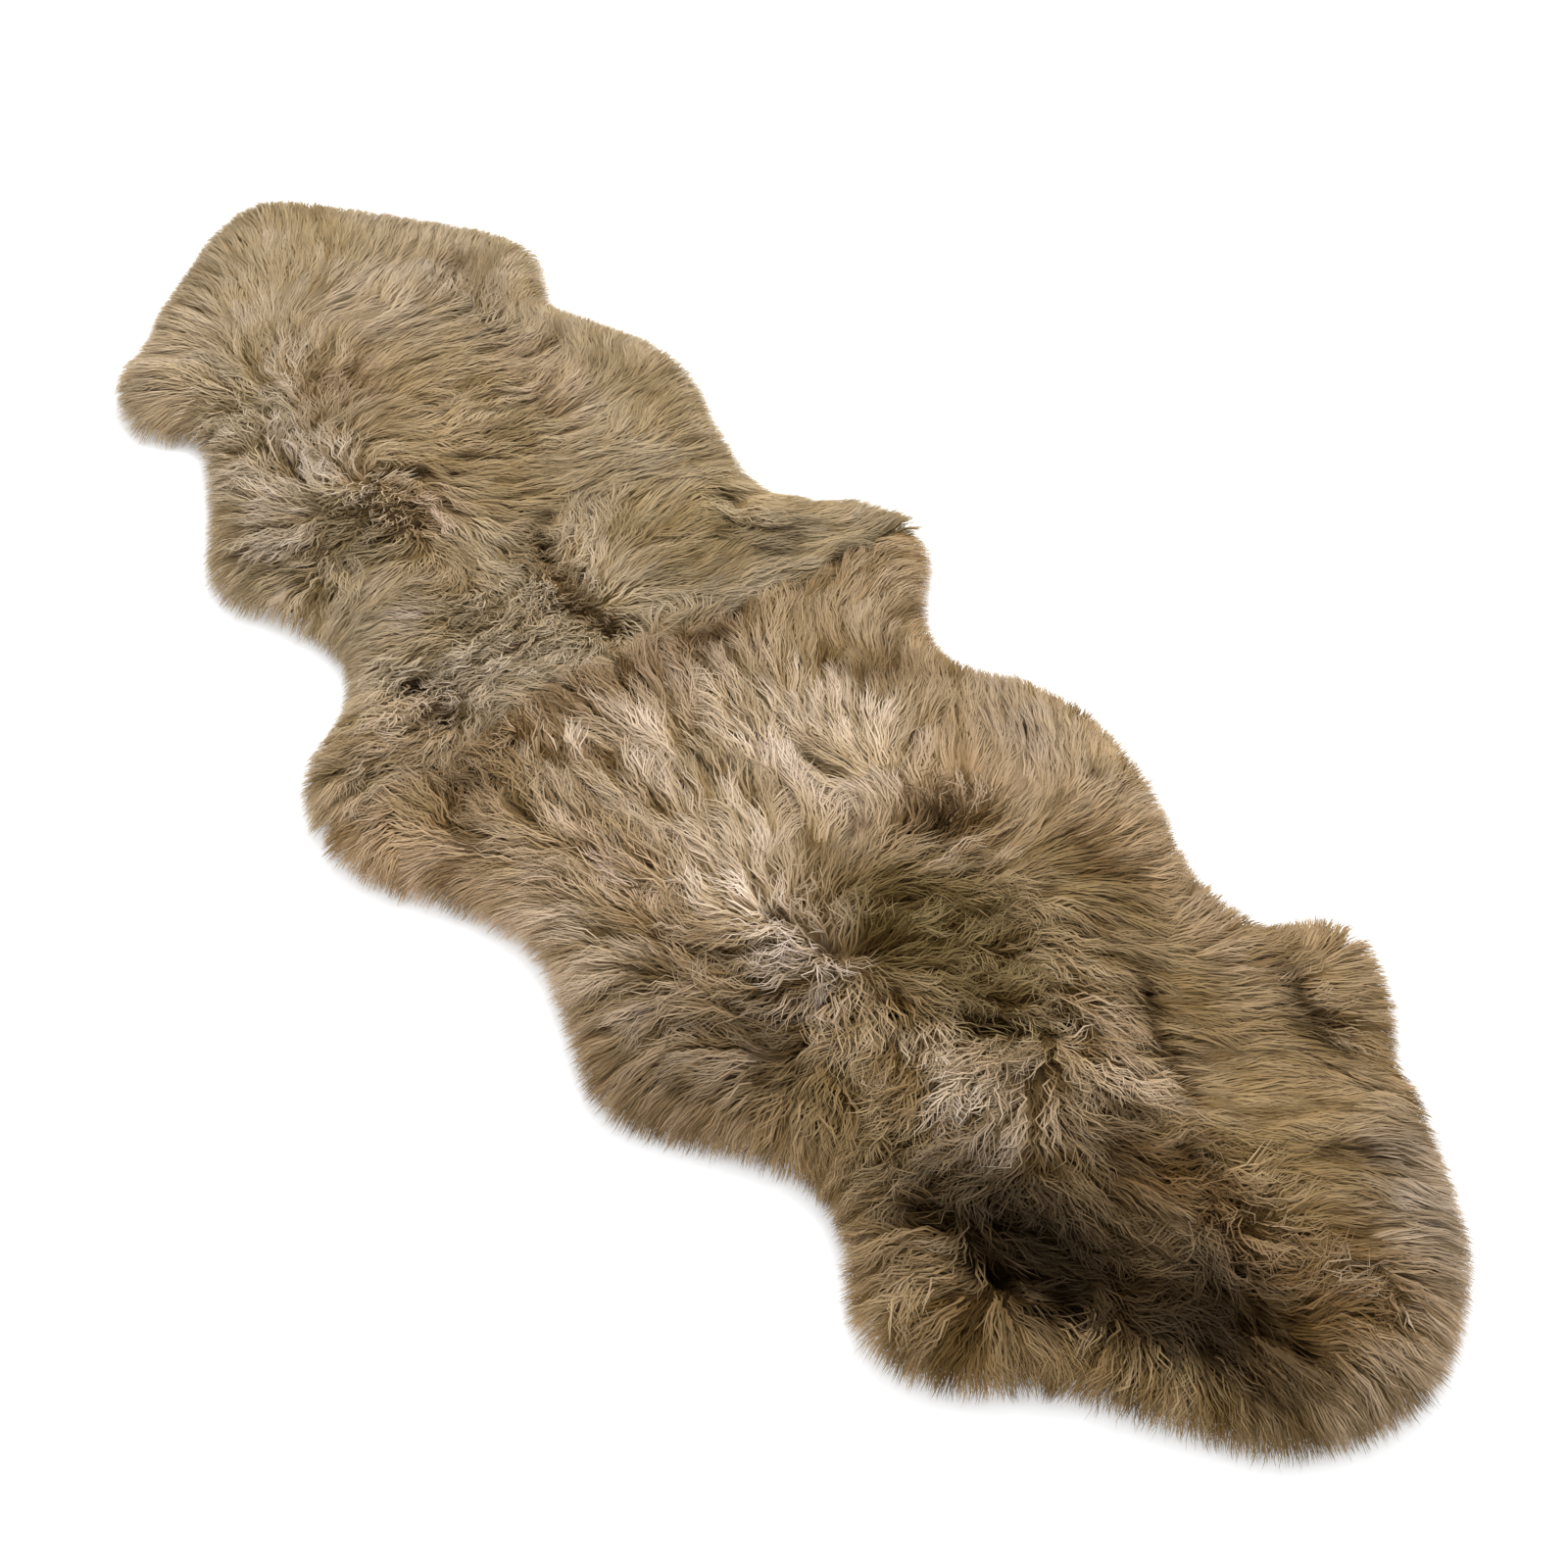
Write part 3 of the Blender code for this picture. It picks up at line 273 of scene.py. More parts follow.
# Where the wool parts or dips into shadow: 1 is a deep hollow.
PARTINGS = [Parting(*row) for row in (
    (-0.778, 0.077, 0.009, 0.007, -35, 0.5), (-0.659, 0.179, 0.018, 0.009, -30, 0.4),
    (-0.64, -0.062, 0.02, 0.004, -30, 0.4), (-0.605, 0.136, 0.014, 0.011, -55, 0.4),
    (-0.603, -0.202, 0.009, 0.006, 60, 0.4), (-0.598, 0.027, 0.021, 0.008, 80, 0.4),
    (-0.588, -0.094, 0.014, 0.005, -40, 0.5), (-0.578, 0.138, 0.016, 0.008, -85, 0.5),
    (-0.571, -0.039, 0.011, 0.005, -30, 0.6), (-0.569, -0.177, 0.009, 0.008, 70, 0.7),
    (-0.567, -0.007, 0.013, 0.008, -50, 0.5), (-0.556, -0.035, 0.015, 0.008, 55, 0.6),
    (-0.552, -0.11, 0.007, 0.005, -55, 0.5), (-0.533, 0.119, 0.017, 0.008, 80, 0.4),
    (-0.517, -0.137, 0.011, 0.006, -45, 0.7), (-0.515, -0.101, 0.011, 0.008, -50, 0.5),
    (-0.507, -0.064, 0.011, 0.007, 20, 0.5), (-0.49, 0.205, 0.01, 0.005, -45, 0.4),
    (-0.483, 0.181, 0.013, 0.006, -35, 0.6), (-0.472, -0.131, 0.017, 0.005, -15, 0.5),
    (-0.439, -0.141, 0.013, 0.007, -30, 0.5), (-0.424, 0.204, 0.011, 0.005, -10, 0.5),
    (-0.41, 0.21, 0.013, 0.004, -25, 0.5), (-0.395, -0.146, 0.012, 0.006, -40, 0.6),
    (-0.393, 0.12, 0.034, 0.004, -30, 0.5), (-0.388, -0.047, 0.036, 0.006, 60, 0.8),
    (-0.379, 0.219, 0.011, 0.005, -10, 0.5), (-0.376, 0.234, 0.014, 0.003, -45, 0.7),
    (-0.375, -0.222, 0.008, 0.008, -30, 0.5), (-0.37, 0.019, 0.026, 0.006, 60, 0.8),
    (-0.367, -0.063, 0.016, 0.007, 20, 0.6), (-0.366, -0.244, 0.009, 0.008, 50, 0.5),
    (-0.348, 0.223, 0.013, 0.008, 30, 0.5), (-0.346, -0.1, 0.01, 0.006, 60, 0.7),
    (-0.339, 0.081, 0.027, 0.004, -25, 0.4), (-0.327, -0.117, 0.025, 0.004, 60, 0.8),
    (-0.325, -0.161, 0.009, 0.006, 85, 0.7), (-0.322, -0.072, 0.011, 0.004, 40, 0.6),
    (-0.288, -0.196, 0.014, 0.013, -30, 0.4), (-0.258, 0.079, 0.013, 0.006, 80, 0.6),
    (-0.25, 0.037, 0.012, 0.005, -55, 0.8), (-0.232, 0.072, 0.01, 0.005, -45, 0.5),
    (-0.232, -0.178, 0.011, 0.007, -30, 0.4), (-0.225, 0.009, 0.012, 0.006, -10, 0.7),
    (-0.213, -0.214, 0.012, 0.008, -45, 0.4), (-0.197, 0.005, 0.02, 0.007, 0, 0.8),
    (-0.172, 0.195, 0.012, 0.011, 45, 0.7), (-0.171, -0.104, 0.013, 0.008, -30, 0.4),
    (-0.165, 0.016, 0.01, 0.006, 15, 0.7), (-0.153, 0.087, 0.012, 0.011, 30, 0.4),
    (-0.149, 0.014, 0.009, 0.007, 55, 0.8), (-0.144, -0.028, 0.016, 0.009, -35, 0.4),
    (-0.141, -0.15, 0.011, 0.006, -30, 0.5), (-0.132, -0.184, 0.015, 0.011, -85, 0.8),
    (-0.126, -0.008, 0.019, 0.018, 55, 0.6), (-0.124, 0.164, 0.012, 0.01, 55, 0.8),
    (-0.113, 0.081, 0.013, 0.007, 55, 0.5), (-0.088, 0.093, 0.015, 0.007, 45, 0.4),
    (-0.087, 0.005, 0.02, 0.015, 30, 0.7), (-0.084, -0.181, 0.013, 0.007, 45, 0.8),
    (-0.078, 0.18, 0.015, 0.01, 45, 0.5), (-0.042, -0.115, 0.06, 0.005, 88, 0.6),
    (-0.03, 0.113, 0.019, 0.01, -85, 0.6), (-0.026, 0.226, 0.018, 0.006, -80, 0.7),
    (-0.023, 0.249, 0.013, 0.005, -55, 0.6), (-0.019, 0.063, 0.026, 0.017, 60, 0.9),
    (-0.017, 0.174, 0.012, 0.007, -70, 0.8), (0.024, 0.094, 0.011, 0.008, 70, 0.5),
    (0.043, -0.105, 0.009, 0.005, -5, 0.6), (0.063, 0.08, 0.011, 0.007, 45, 0.4),
    (0.086, 0.199, 0.018, 0.009, -40, 0.5), (0.098, 0.151, 0.046, 0.012, 45, 0.65),
    (0.105, -0.031, 0.012, 0.007, 55, 0.7), (0.115, 0.083, 0.016, 0.006, 10, 0.5),
    (0.124, -0.006, 0.007, 0.007, 55, 0.6), (0.127, 0.023, 0.013, 0.005, -15, 0.5),
    (0.139, -0.146, 0.01, 0.006, -5, 0.6), (0.197, -0.148, 0.01, 0.005, -5, 0.6),
    (0.213, 0.135, 0.012, 0.011, -85, 0.4), (0.252, 0.036, 0.012, 0.009, 75, 0.8),
    (0.254, 0.235, 0.018, 0.011, 60, 0.5), (0.271, 0.129, 0.02, 0.014, 55, 0.5),
    (0.282, 0.112, 0.02, 0.014, 55, 0.9), (0.288, -0.07, 0.005, 0.004, -35, 0.7),
    (0.301, -0.22, 0.016, 0.007, 75, 0.6), (0.327, 0.248, 0.016, 0.005, -5, 0.8),
    (0.332, 0.093, 0.01, 0.006, 55, 0.5), (0.333, 0.016, 0.02, 0.009, 65, 0.6),
    (0.286, -0.072, 0.008, 0.006, 0, 0.9), (0.334, -0.063, 0.009, 0.006, 40, 0.8),
    (0.338, -0.187, 0.024, 0.008, 45, 0.6), (0.364, -0.119, 0.04, 0.007, 50, 0.8),
    (0.368, 0.186, 0.009, 0.007, -20, 0.8), (0.373, -0.241, 0.022, 0.007, 15, 0.6),
    (0.39, 0.182, 0.013, 0.007, 5, 0.7), (0.407, -0.188, 0.02, 0.008, 10, 0.6),
    (0.417, -0.051, 0.022, 0.006, 50, 0.9), (0.423, -0.151, 0.013, 0.008, 55, 0.5),
    (0.476, 0.0, 0.038, 0.006, 50, 0.75), (0.511, 0.136, 0.008, 0.004, 45, 0.7),
    (0.511, 0.047, 0.012, 0.008, 50, 1.0), (0.544, 0.187, 0.013, 0.009, 45, 0.5),
    (0.54, 0.118, 0.036, 0.006, -30, 1.0), (0.573, 0.103, 0.03, 0.006, -24, 0.9),
    (0.58, -0.153, 0.016, 0.008, 35, 1.0), (0.61, 0.226, 0.034, 0.007, -23, 1.0),
    (0.604, 0.207, 0.012, 0.008, -45, 0.5), (0.612, 0.031, 0.02, 0.007, 30, 0.7),
    (0.606, 0.089, 0.036, 0.006, -17, 1.0), (0.632, -0.002, 0.02, 0.006, 55, 0.7),
    (0.634, 0.225, 0.011, 0.008, 15, 0.6), (0.644, -0.14, 0.022, 0.008, 20, 1.0),
    (0.666, 0.042, 0.015, 0.011, 45, 0.9), (0.66, 0.212, 0.026, 0.006, 0, 0.9),
    (0.698, -0.113, 0.02, 0.013, 10, 1.0), (0.717, 0.035, 0.009, 0.005, -80, 1.0),
    (0.73, 0.134, 0.018, 0.006, 75, 0.9), (0.749, 0.158, 0.017, 0.008, 20, 0.9),
    (0.753, 0.01, 0.007, 0.007, 0, 1.0), (0.766, 0.059, 0.011, 0.005, 30, 0.9),
    (0.779, -0.005, 0.008, 0.007, 35, 1.0), (0.796, -0.008, 0.011, 0.007, 20, 1.0),
    (0.808, 0.017, 0.009, 0.005, 55, 0.8), (0.81, 0.08, 0.009, 0.005, 40, 0.7),
    (0.832, -0.001, 0.012, 0.01, -45, 0.9), (0.835, 0.067, 0.006, 0.005, -45, 0.6),
)]
PARTING_DROP = 0.014        # how much lower the mound lies in a deep one
PARTING_SHORTENS = 0.40     # how much shorter its wool is, and the wool that would lie over it
PARTING_WIDENS = 0.7        # and how much wider its wisps are
PARTING_LIMITS = (0.55, 1.4)            # how deep a parting has to be for a wisp to end at its edge
PARTING_OWN = 0.2           # and how much deeper than where the wisp grows
PARTING_PAINTED_SHADES = (0.80, 0.85, 0.92)     # painted shade in a parting: how much darker it is in red, green and blue
PARTING_TRIMS = 8           # the lengths that are tried for such a wisp
PATCH_POWER = 1.5           # how sharp the edges of all patches in these tables are

# Smooth noise over the rug: about how wide its lumps are, and its seed.
CLOUDS = {
    "mound": (0.055, 11),
    "heading": (0.036, 21),
    "root pitch": (0.022, 24),
    "tip pitch": (0.016, 25),
    "wave": (0.040, 26),
    "phase": (0.026, 27),
    "fine shade": (0.012, 31),
    "warmth": (0.024, 33),
    "broad shade": (0.032, 34),
}
CLOUD_REPEATS = 255         # after how many lumps
CLOUD_SHIFT = 100.37        # the rug's place in it
SEEDS = Values(wisps=3, rim_wisps=4, growth=5, mound=7, ribbons=9, tufts=13, locks=17)

# The woolly mound that the wisps grow from.
MOUND_DEPTH = 0.038
TUFTED_DROP = 0.007         # how much lower it lies under tufted wool
MOUND_INSET = 0.025         # from the tips of the wool in to the mound's edge
MOUND_ROUNDING = 0.050
MOUND_EDGE = 0.007
MOUND_FLOOR = 0.0028
MOUND_STEP = 0.008
MOUND_MARGIN = 0.006        # from its edge in to its next points
MOUND_JOIN_MARGIN = 0.005   # and from the join
MOUND_LUMPS = 0.004
MOUND_PAINTED_SHADES = (0.70, 0.62, 0.50)       # its colour is the wool's, times these, as painted shade under the wisps
ROOT_DEPTH = 0.002          # how far the wisps start below its surface
WOOL_OVER_MOUND = 0.0008    # how much higher over it each ring of a wisp lies at least, where it rises
RIM_DROOP = 0.060           # how much lower than that the wisps may lie at the rim

# The wisps. Neighbours lie together in small locks, and the locks in larger tufts. Both are cells that are
# longer the way the wool leans and narrower across it, by their stretch.
WISP_STEP = 0.0027
RIM_WISP_STEP = 0.0021      # more of them this far apart where the wool leans out over the rim
WISP_WIDTH = 0.00155
WIDTH_SPREAD = 0.2
WISP_PROFILE = Values(root=0.9, swells=0.2, power=2.4)      # its width along it, and how late it tapers
WISP_ROLL = 0.12            # radians by which its faces roll, at random
FACES_UP = 0.35             # how far they are shaded as if they faced up
MOST_TILT = 1.2
RINGS = 5
SEEN_RING = 3               # the ring whose place decides a wisp's colour
FIBRE_SHIFT = 60            # how far the streaks of one wisp may lie from the next one's
LOCK_STEP = 0.0064
LOCK_STRETCH = 2.3
LOCK_PULL = 0.65            # how far across the tips are drawn to the middle of their lock
LOCK_HOLD = Values(smooth=0.3, tufted=0.7, curly=0.4)       # and how much of that by its feel
LOCK_RISE = 0.0014          # how much higher its middle lies than its edges
LOCK_ROUNDING = 0.45        # how far its faces turn from its middle to its edges, as if it were round
TUFT_STEP = 0.027
TUFT_STRETCH = 1.5
TUFT_PULL = 0.55
TUFT_GATHER = 0.35          # how far along the wool the tips of a tuft are drawn together
CURL_FREES = 0.5            # how much less where they curl
GATHER_POWER = 1.5          # how late along a wisp it is drawn to its lock and tuft
TUFT_RISE = 0.0075
TUFT_RISE_SPREAD = 0.0022
LEVEL_CREST = 0.5           # the crest of wool that is neither raised nor lowered
TUFT_ROUNDING = 0.55
BUNCH_LIFTS = 1.6           # how soon along a wisp it is as high as its lock and tuft
SMOOTH_BUNCHES = 0.45       # how much of the tufts' light, shade and height also the smooth wool has
FAR_BUNCHES, NEAR_BUNCHES = 0.85, 1.45
CELL_REACH = 3              # how many grid steps away a point's cell may have its centre
JOIN_CREST = 0.032          # how far from the join the near wool stands up in a crest over it
HIGHEST = 0.0665

# At the rim.
RIM_REACH = 0.064           # wool this near the rim leans out over it
RIM_LEAN = 1.6              # how much stronger than the nap
RIM_DENSE = 0.052           # and more of it grows this near
RIM_CALMS = 2.4             # how soon towards the rim its tufts and locks end
RIM_STEADIES = 0.8          # and its sway
RIM_FLATTENS = 0.5          # and its tilt
RIM_FUZZ = 0.0036           # how unevenly the tips end there
RIM_PAINTED_GLOW = (0.75, 0.65, 0.45)           # painted light at the tips: how much lighter they are in red, green and blue
SHORTEST = 0.3              # the share of a wisp that always stays
FLOOR_CLEARANCE = 0.0006
FLOOR_SPREAD = 0.003        # how unevenly the lowest wisps lie over the floor

# How the wisps grow. Here and below, smooth, tufted, curly, loose, crest and rim are the feel and place of
# the wool, cloudy is for smooth noise, and tuft, lock and wisp are the spreads of what is drawn for each.
# Pitches are in degrees above level, and other angles in radians.
SWAY = Values(smooth=0.20, curly=0.6)
HEADING = Values(tuft=0.22, lock=0.09, curly_lock=0.5, wisp=0.02)
WILDER = Values(tufted=2, curly=2, loose=5)     # how much more the wisps vary in heading
HOOK = Values(tuft=0.9, lock=0.8, power=3)      # how far the tips bend sideways, and how late
LENGTH = Values(
    far=0.042, near=0.049, tufted=0.25, curly=-0.40, crest=-0.55, tuft=0.14, lock=0.06, wisp=0.04
)
LIES_OVER = Values(place=0.6, share=0.8)        # where along it a parting under it counts, how much
ROOT_PITCH = Values(smooth=24, tufted=24, curly=10, loose=24, crest=26, cloudy=3, tuft=7, wisp=1)
TIP_PITCH = Values(smooth=-4, curly=14, loose=8, rim=-52, cloudy=3, wisp=1.2, power=1.4)
UNEVEN = 2                  # how much more the pitch and shade of the wisps vary in tufts
WAVE = Values(smooth=0.18, tufted=0.20, curly=0.50, cloudy=0.08, lock=0.4, curly_lock=2, sets_in=3)
WAVE_LENGTH = Values(smooth=0.035, curly=-0.012)

# How their colours vary: by shares of the colour at their place. The lighter middles and darker edges of
# locks and tufts are painted light and shade.
COLOUR_STRAY = 0.006        # how far from its place a lock takes its colour
PARTING_STRAY = 0.4         # and how much of that its shade in a parting
# Warmth is partly random and partly painted shade, most at the edges of the tufts.
WARMTH = Values(cloudy=0.35, edge=0.9, level=0.55, tuft=0.22, least=-0.5, most=1.0)
WARM_TONE_AND_SHADE = (0.20, 0.27, 0.48)        # how much darker the warmest wool is in red, green and blue, partly as painted shade
SHADE = Values(fine=0.07, broad=0.12, wisp=0.015, level=0.6, least=0.35, most=1.8)
LOCK_SHADE = Values(lock=0.12, crest=0.32, smooth=0.14, tufted=0.76, curly=2.2)
TUFT_SHADE = Values(tuft=0.14, crest=0.50, curly=1.6)
SHADE_POWERS = (0.9, 1.0, 1.25)         # so that dark wool is redder and light wool bluer
TUFTED_DEPTH = 0.8          # how far tufted wool has the deep colours along its wisps, with painted shade at their roots
PARTING_POWER = 1.3

MOST_FACES_PER_PIECE = 190_000

# The skins and their seam.
SKIN_INSET = 0.045
SKIN_BOTTOM = 0.0004
SKIN_THICKNESS = 0.002
SKIN_STEP = 0.008
JOIN_GAP = 0.0008           # from the join to each pelt's mound or skin
JOIN_CLEARANCE = 0.003      # from the join to the nearest points of the rest of a pelt's outline
EDGE_CLEARANCE = 0.002      # how much further in than asked the outline lies
CLOSEST = 0.8               # how near to each other its points may lie, in steps
STITCH_STEP = 0.0036
STITCH_REACH = 0.0034
THREAD_RADIUS = 0.00045
THREAD_CLEARANCE = 0.0001

# The camera as fitted to the photograph, and the studio.
CAMERA_PLACE = (1.166, -0.722, 1.516)
CAMERA_PITCH, CAMERA_TURN = 40, 53.41   # degrees up from straight down, and about Z
LENS, SENSOR = 49.5, 36     # millimetres
WORLD_STRENGTH = 1.25
LAMP_PLACE, LAMP_SIZE, LAMP_POWER = (-0.9, 1.3, 2.2), 1.6, 48
FLOOR_HALF = 12.0

RIM_STEPS, JOIN_STEPS = 16, 24          # points on the smooth curves for each row of the tables
CHUNK = 4000                # points handled at a time, to spare memory


def arrays(rows):
    """The places that rows of a table name, as an array."""
    return np.array([[row.along, row.across] for row in rows])


def through(points, steps, closed):
    """Points on a smooth curve through the given ones."""
    if closed:
        padded = np.vstack([points[-1:], points, points[:2]])
    else:
        padded = np.vstack([2 * points[0] - points[1], points, 2 * points[-1] - points[-2]])
    before, start, end, after = (padded[k:len(padded) - 3 + k, None] for k in range(4))
    t = np.linspace(0, 1, steps, endpoint=False)[None, :, None]
    curve = 0.5 * (
        2 * start
        + (end - before) * t
        + (2 * before - 5 * start + 4 * end - after) * t ** 2
        + (3 * start - before - 3 * end + after) * t ** 3
    )
    curve = curve.reshape(-1, 2)
    return curve if closed else np.vstack([curve, points[-1:]])


def signed_area(outline):
    """The area within a closed outline, below 0 where it runs clockwise."""
    x, y = outline[:, 0], outline[:, 1]
    return np.sum(x * np.roll(y, -1) - np.roll(x, -1) * y) / 2


def outward_of(outline):
    """The unit direction out of a closed outline at each of its points."""
    tangents = np.roll(outline, -1, axis=0) - np.roll(outline, 1, axis=0)
    out = np.stack([-tangents[:, 1], tangents[:, 0]], axis=1)
    out /= np.linalg.norm(out, axis=1, keepdims=True)
    return out * -np.sign(signed_area(outline))


RIM = through(np.vstack([arrays(FAR_RIM), arrays(NEAR_RIM)[1:-1]]), RIM_STEPS, closed=True)
OUTWARD = outward_of(RIM)
JOIN_LINE = through(arrays(JOIN), JOIN_STEPS, closed=False)


def rim_of(points):
    """For each point, how far in from the tips of the wool it lies, and the way out there."""
    inward = np.empty(len(points))
    out = np.empty((len(points), 2))
    for first in range(0, len(points), CHUNK):
        some = points[first:first + CHUNK]
        gaps = some[:, None] - RIM[None]
        nearest = np.argmin(np.einsum("ijk,ijk->ij", gaps, gaps), axis=1)
        gap = some - RIM[nearest]
        side = -np.sign(np.einsum("ij,ij->i", gap, OUTWARD[nearest]))
        inward[first:first + CHUNK] = np.linalg.norm(gap, axis=1) * side
        out[first:first + CHUNK] = OUTWARD[nearest]
    return inward, out


def join_at(across):
    """Where the join lies along the rug, at places across it."""
    return np.interp(across, JOIN_LINE[:, 1], JOIN_LINE[:, 0])


def past_join(points):
    """How far each point lies on the near pelt's side of the join, along the rug."""
    return points[:, 0] - join_at(points[:, 1])


def clouds(points, name):
    """Smooth noise from -1 to 1, in lumps about as wide as the table says."""
    span, seed = CLOUDS[name]
    grid = np.random.default_rng(seed).uniform(-1, 1, (CLOUD_REPEATS + 1, CLOUD_REPEATS + 1))
    place = points / span + CLOUD_SHIFT
    low = np.floor(place).astype(int)
    share = place - low
    share = share * share * (3 - 2 * share)
    i, j = low[:, 0] % CLOUD_REPEATS, low[:, 1] % CLOUD_REPEATS
    near = grid[i, j] * (1 - share[:, 1]) + grid[i, j + 1] * share[:, 1]
    far = grid[i + 1, j] * (1 - share[:, 1]) + grid[i + 1, j + 1] * share[:, 1]
    return near * (1 - share[:, 0]) + far * share[:, 0]


def within(row, points):
    """How far each point lies within the patch of a row: 1 in its middle, 0 well outside."""
    turn = math.radians(row.turn)
    x = points[:, 0] - row.along
    y = points[:, 1] - row.across
    u = (x * math.cos(turn) + y * math.sin(turn)) / row.long
    v = (y * math.cos(turn) - x * math.sin(turn)) / row.wide
    return np.exp(-(u ** 2 + v ** 2) ** PATCH_POWER)


def parting_at(points):
    """How deep in a parting each point lies, from 0 to 1."""
    closed = np.ones(len(points))
    for row in PARTINGS:
        closed *= 1 - row.depth * within(row, points)
    return 1 - closed


def feel_at(points):
    """How tufted and how curly the wool is at each point, from 0 to 1."""
    smooth = np.full(len(points), 1 - SMOOTH)
    straight = np.ones(len(points))
    for row in FEELS:
        share = within(row, points)
        smooth *= 1 - row.tufted * share
        straight *= 1 - row.curly * share
    return 1 - smooth, 1 - straight


def linear(colour):
    """Scene-linear values of an sRGB colour from 0 to 255."""
    c = np.array(colour) / 255
    return np.where(c <= 0.04045, c / 12.92, ((c + 0.055) / 1.055) ** 2.4)


def colour_at(points, near):
    """The wool's colour at each point."""
    mixed = np.where(near[:, None], linear(COLOURS["taupe"]), linear(COLOURS["olive"]))
    for patch in PATCHES:
        share = patch.strength * within(patch, points)[:, None]
        mixed = mixed * (1 - share) + linear(COLOURS[patch.colour]) * share
    return mixed


def nap_at(points, inward, out):
    """The unit direction in which the wool leans, seen from above, and how far the rows agree on it."""
    lean = np.zeros((len(points), 2))
    total = np.full(len(points), 1e-9)
    for row in NAP:
        gap = np.hypot(points[:, 0] - row.along, points[:, 1] - row.across) / NAP_REACH
        way = np.array([row.to_along, row.to_across])
        weight = np.exp(-gap ** 2)
        lean += weight[:, None] * way / np.linalg.norm(way)
        total += weight
    size = np.linalg.norm(lean, axis=1) + 1e-9
    agreed = np.clip(size / total, 0, 1)
    lean /= size[:, None]
    rimward = np.clip(1 - inward / RIM_REACH, 0, 1)
    lean = lean * (1 - rimward[:, None]) + out * rimward[:, None] * RIM_LEAN
    return lean / np.linalg.norm(lean, axis=1, keepdims=True), np.maximum(agreed, rimward)


def bumps_at(points):
    """How much higher the mound lies at each point than a smooth one would."""
    bumps = MOUND_LUMPS * clouds(points, "mound")
    for lump in LUMPS:
        gap = np.hypot(points[:, 0] - lump.along, points[:, 1] - lump.across) / lump.radius
        bumps += lump.rise * np.exp(-gap ** 2)
    return bumps - PARTING_DROP * parting_at(points) - TUFTED_DROP * feel_at(points)[0]


def mound_height(points, inward):
    """The height of the mound's surface."""
    rise = np.clip((inward - MOUND_INSET) / MOUND_ROUNDING, 0, 1)
    rounded = np.sqrt(1 - (1 - rise) ** 2)
    return MOUND_EDGE + (MOUND_DEPTH - MOUND_EDGE + bumps_at(points)) * rounded


def mesh_height(points):
    """The height of the mound's mesh: lower than its surface where a face would bridge a parting."""
    shifts = MOUND_STEP / 2 * np.array([(1, 0), (-1, 0), (0, 1), (0, -1)])
    deepest = np.max([parting_at(points + shift) for shift in shifts], axis=0)
    height = mound_height(points, rim_of(points)[0])
    sunk = height - PARTING_DROP * np.maximum(deepest - parting_at(points), 0)
    return np.maximum(sunk, np.minimum(height, MOUND_EDGE))


def scattered(step, seed, inset):
    """Points over the whole rug, evenly but not regularly spaced, how far in they lie, and the way out."""
    rng = np.random.default_rng(seed)
    low, high = RIM.min(0), RIM.max(0)
    x, y = np.meshgrid(np.arange(low[0], high[0], step), np.arange(low[1], high[1], step))
    points = np.stack([x.ravel(), y.ravel()], axis=1)
    points += rng.uniform(-0.5, 0.5, points.shape) * step
    inward, out = rim_of(points)
    kept = inward > inset
    return points[kept], inward[kept], out[kept]


def cells(points, ways, step, stretch, seed):
    """Groups the points in cells of about step squared, stretched the given ways.

    Gives for each point the number of its cell, and how far from its middle it lies along and across.
    """
    low = RIM.min(0) - (CELL_REACH + 1) * step
    spots = tuple(((RIM.max(0) - low) / step).astype(int) + CELL_REACH + 2)
    corners = np.stack(np.indices(spots), axis=-1)
    middles = low + step * (corners + np.random.default_rng(seed).uniform(0, 1, corners.shape))
    home = ((points - low) / step).astype(int)
    best = np.full(len(points), np.inf)
    member = np.zeros(len(points), int)
    offset = np.zeros((len(points), 2))
    for i in range(-CELL_REACH, CELL_REACH + 1):
        for j in range(-CELL_REACH, CELL_REACH + 1):
            column, row = home[:, 0] + i, home[:, 1] + j
            gap = points - middles[column, row]
            along = gap[:, 0] * ways[:, 0] + gap[:, 1] * ways[:, 1]
            across = gap[:, 1] * ways[:, 0] - gap[:, 0] * ways[:, 1]
            size = (along / stretch) ** 2 + (across * stretch) ** 2
            nearer = size < best
            best[nearer] = size[nearer]
            member[nearer] = (column * spots[1] + row)[nearer]
            offset[nearer, 0] = along[nearer]
            offset[nearer, 1] = across[nearer]
    return member, offset


def crest(offset, step, stretch):
    """1 on the middle line of a cell, 0 at its edges."""
    return np.clip(1 - (2 * offset[:, 1] * stretch / step) ** 2, 0, 1)


def drawn(rng, spread, member):
    """One random number for each group, handed to all its members."""
    return rng.normal(0, spread, member.max() + 1)[member]


def wisp_roots():
    """Where the wisps grow, how far in from the rim, and the way out: more of them where they lean out."""
    points, inward, out = scattered(WISP_STEP, SEEDS.wisps, MOUND_INSET)
    more, more_inward, more_out = scattered(RIM_WISP_STEP, SEEDS.rim_wisps, MOUND_INSET)
    rim = more_inward < RIM_DENSE
    inward = np.append(inward, more_inward[rim])
    return np.vstack([points, more[rim]]), inward, np.vstack([out, more_out[rim]])


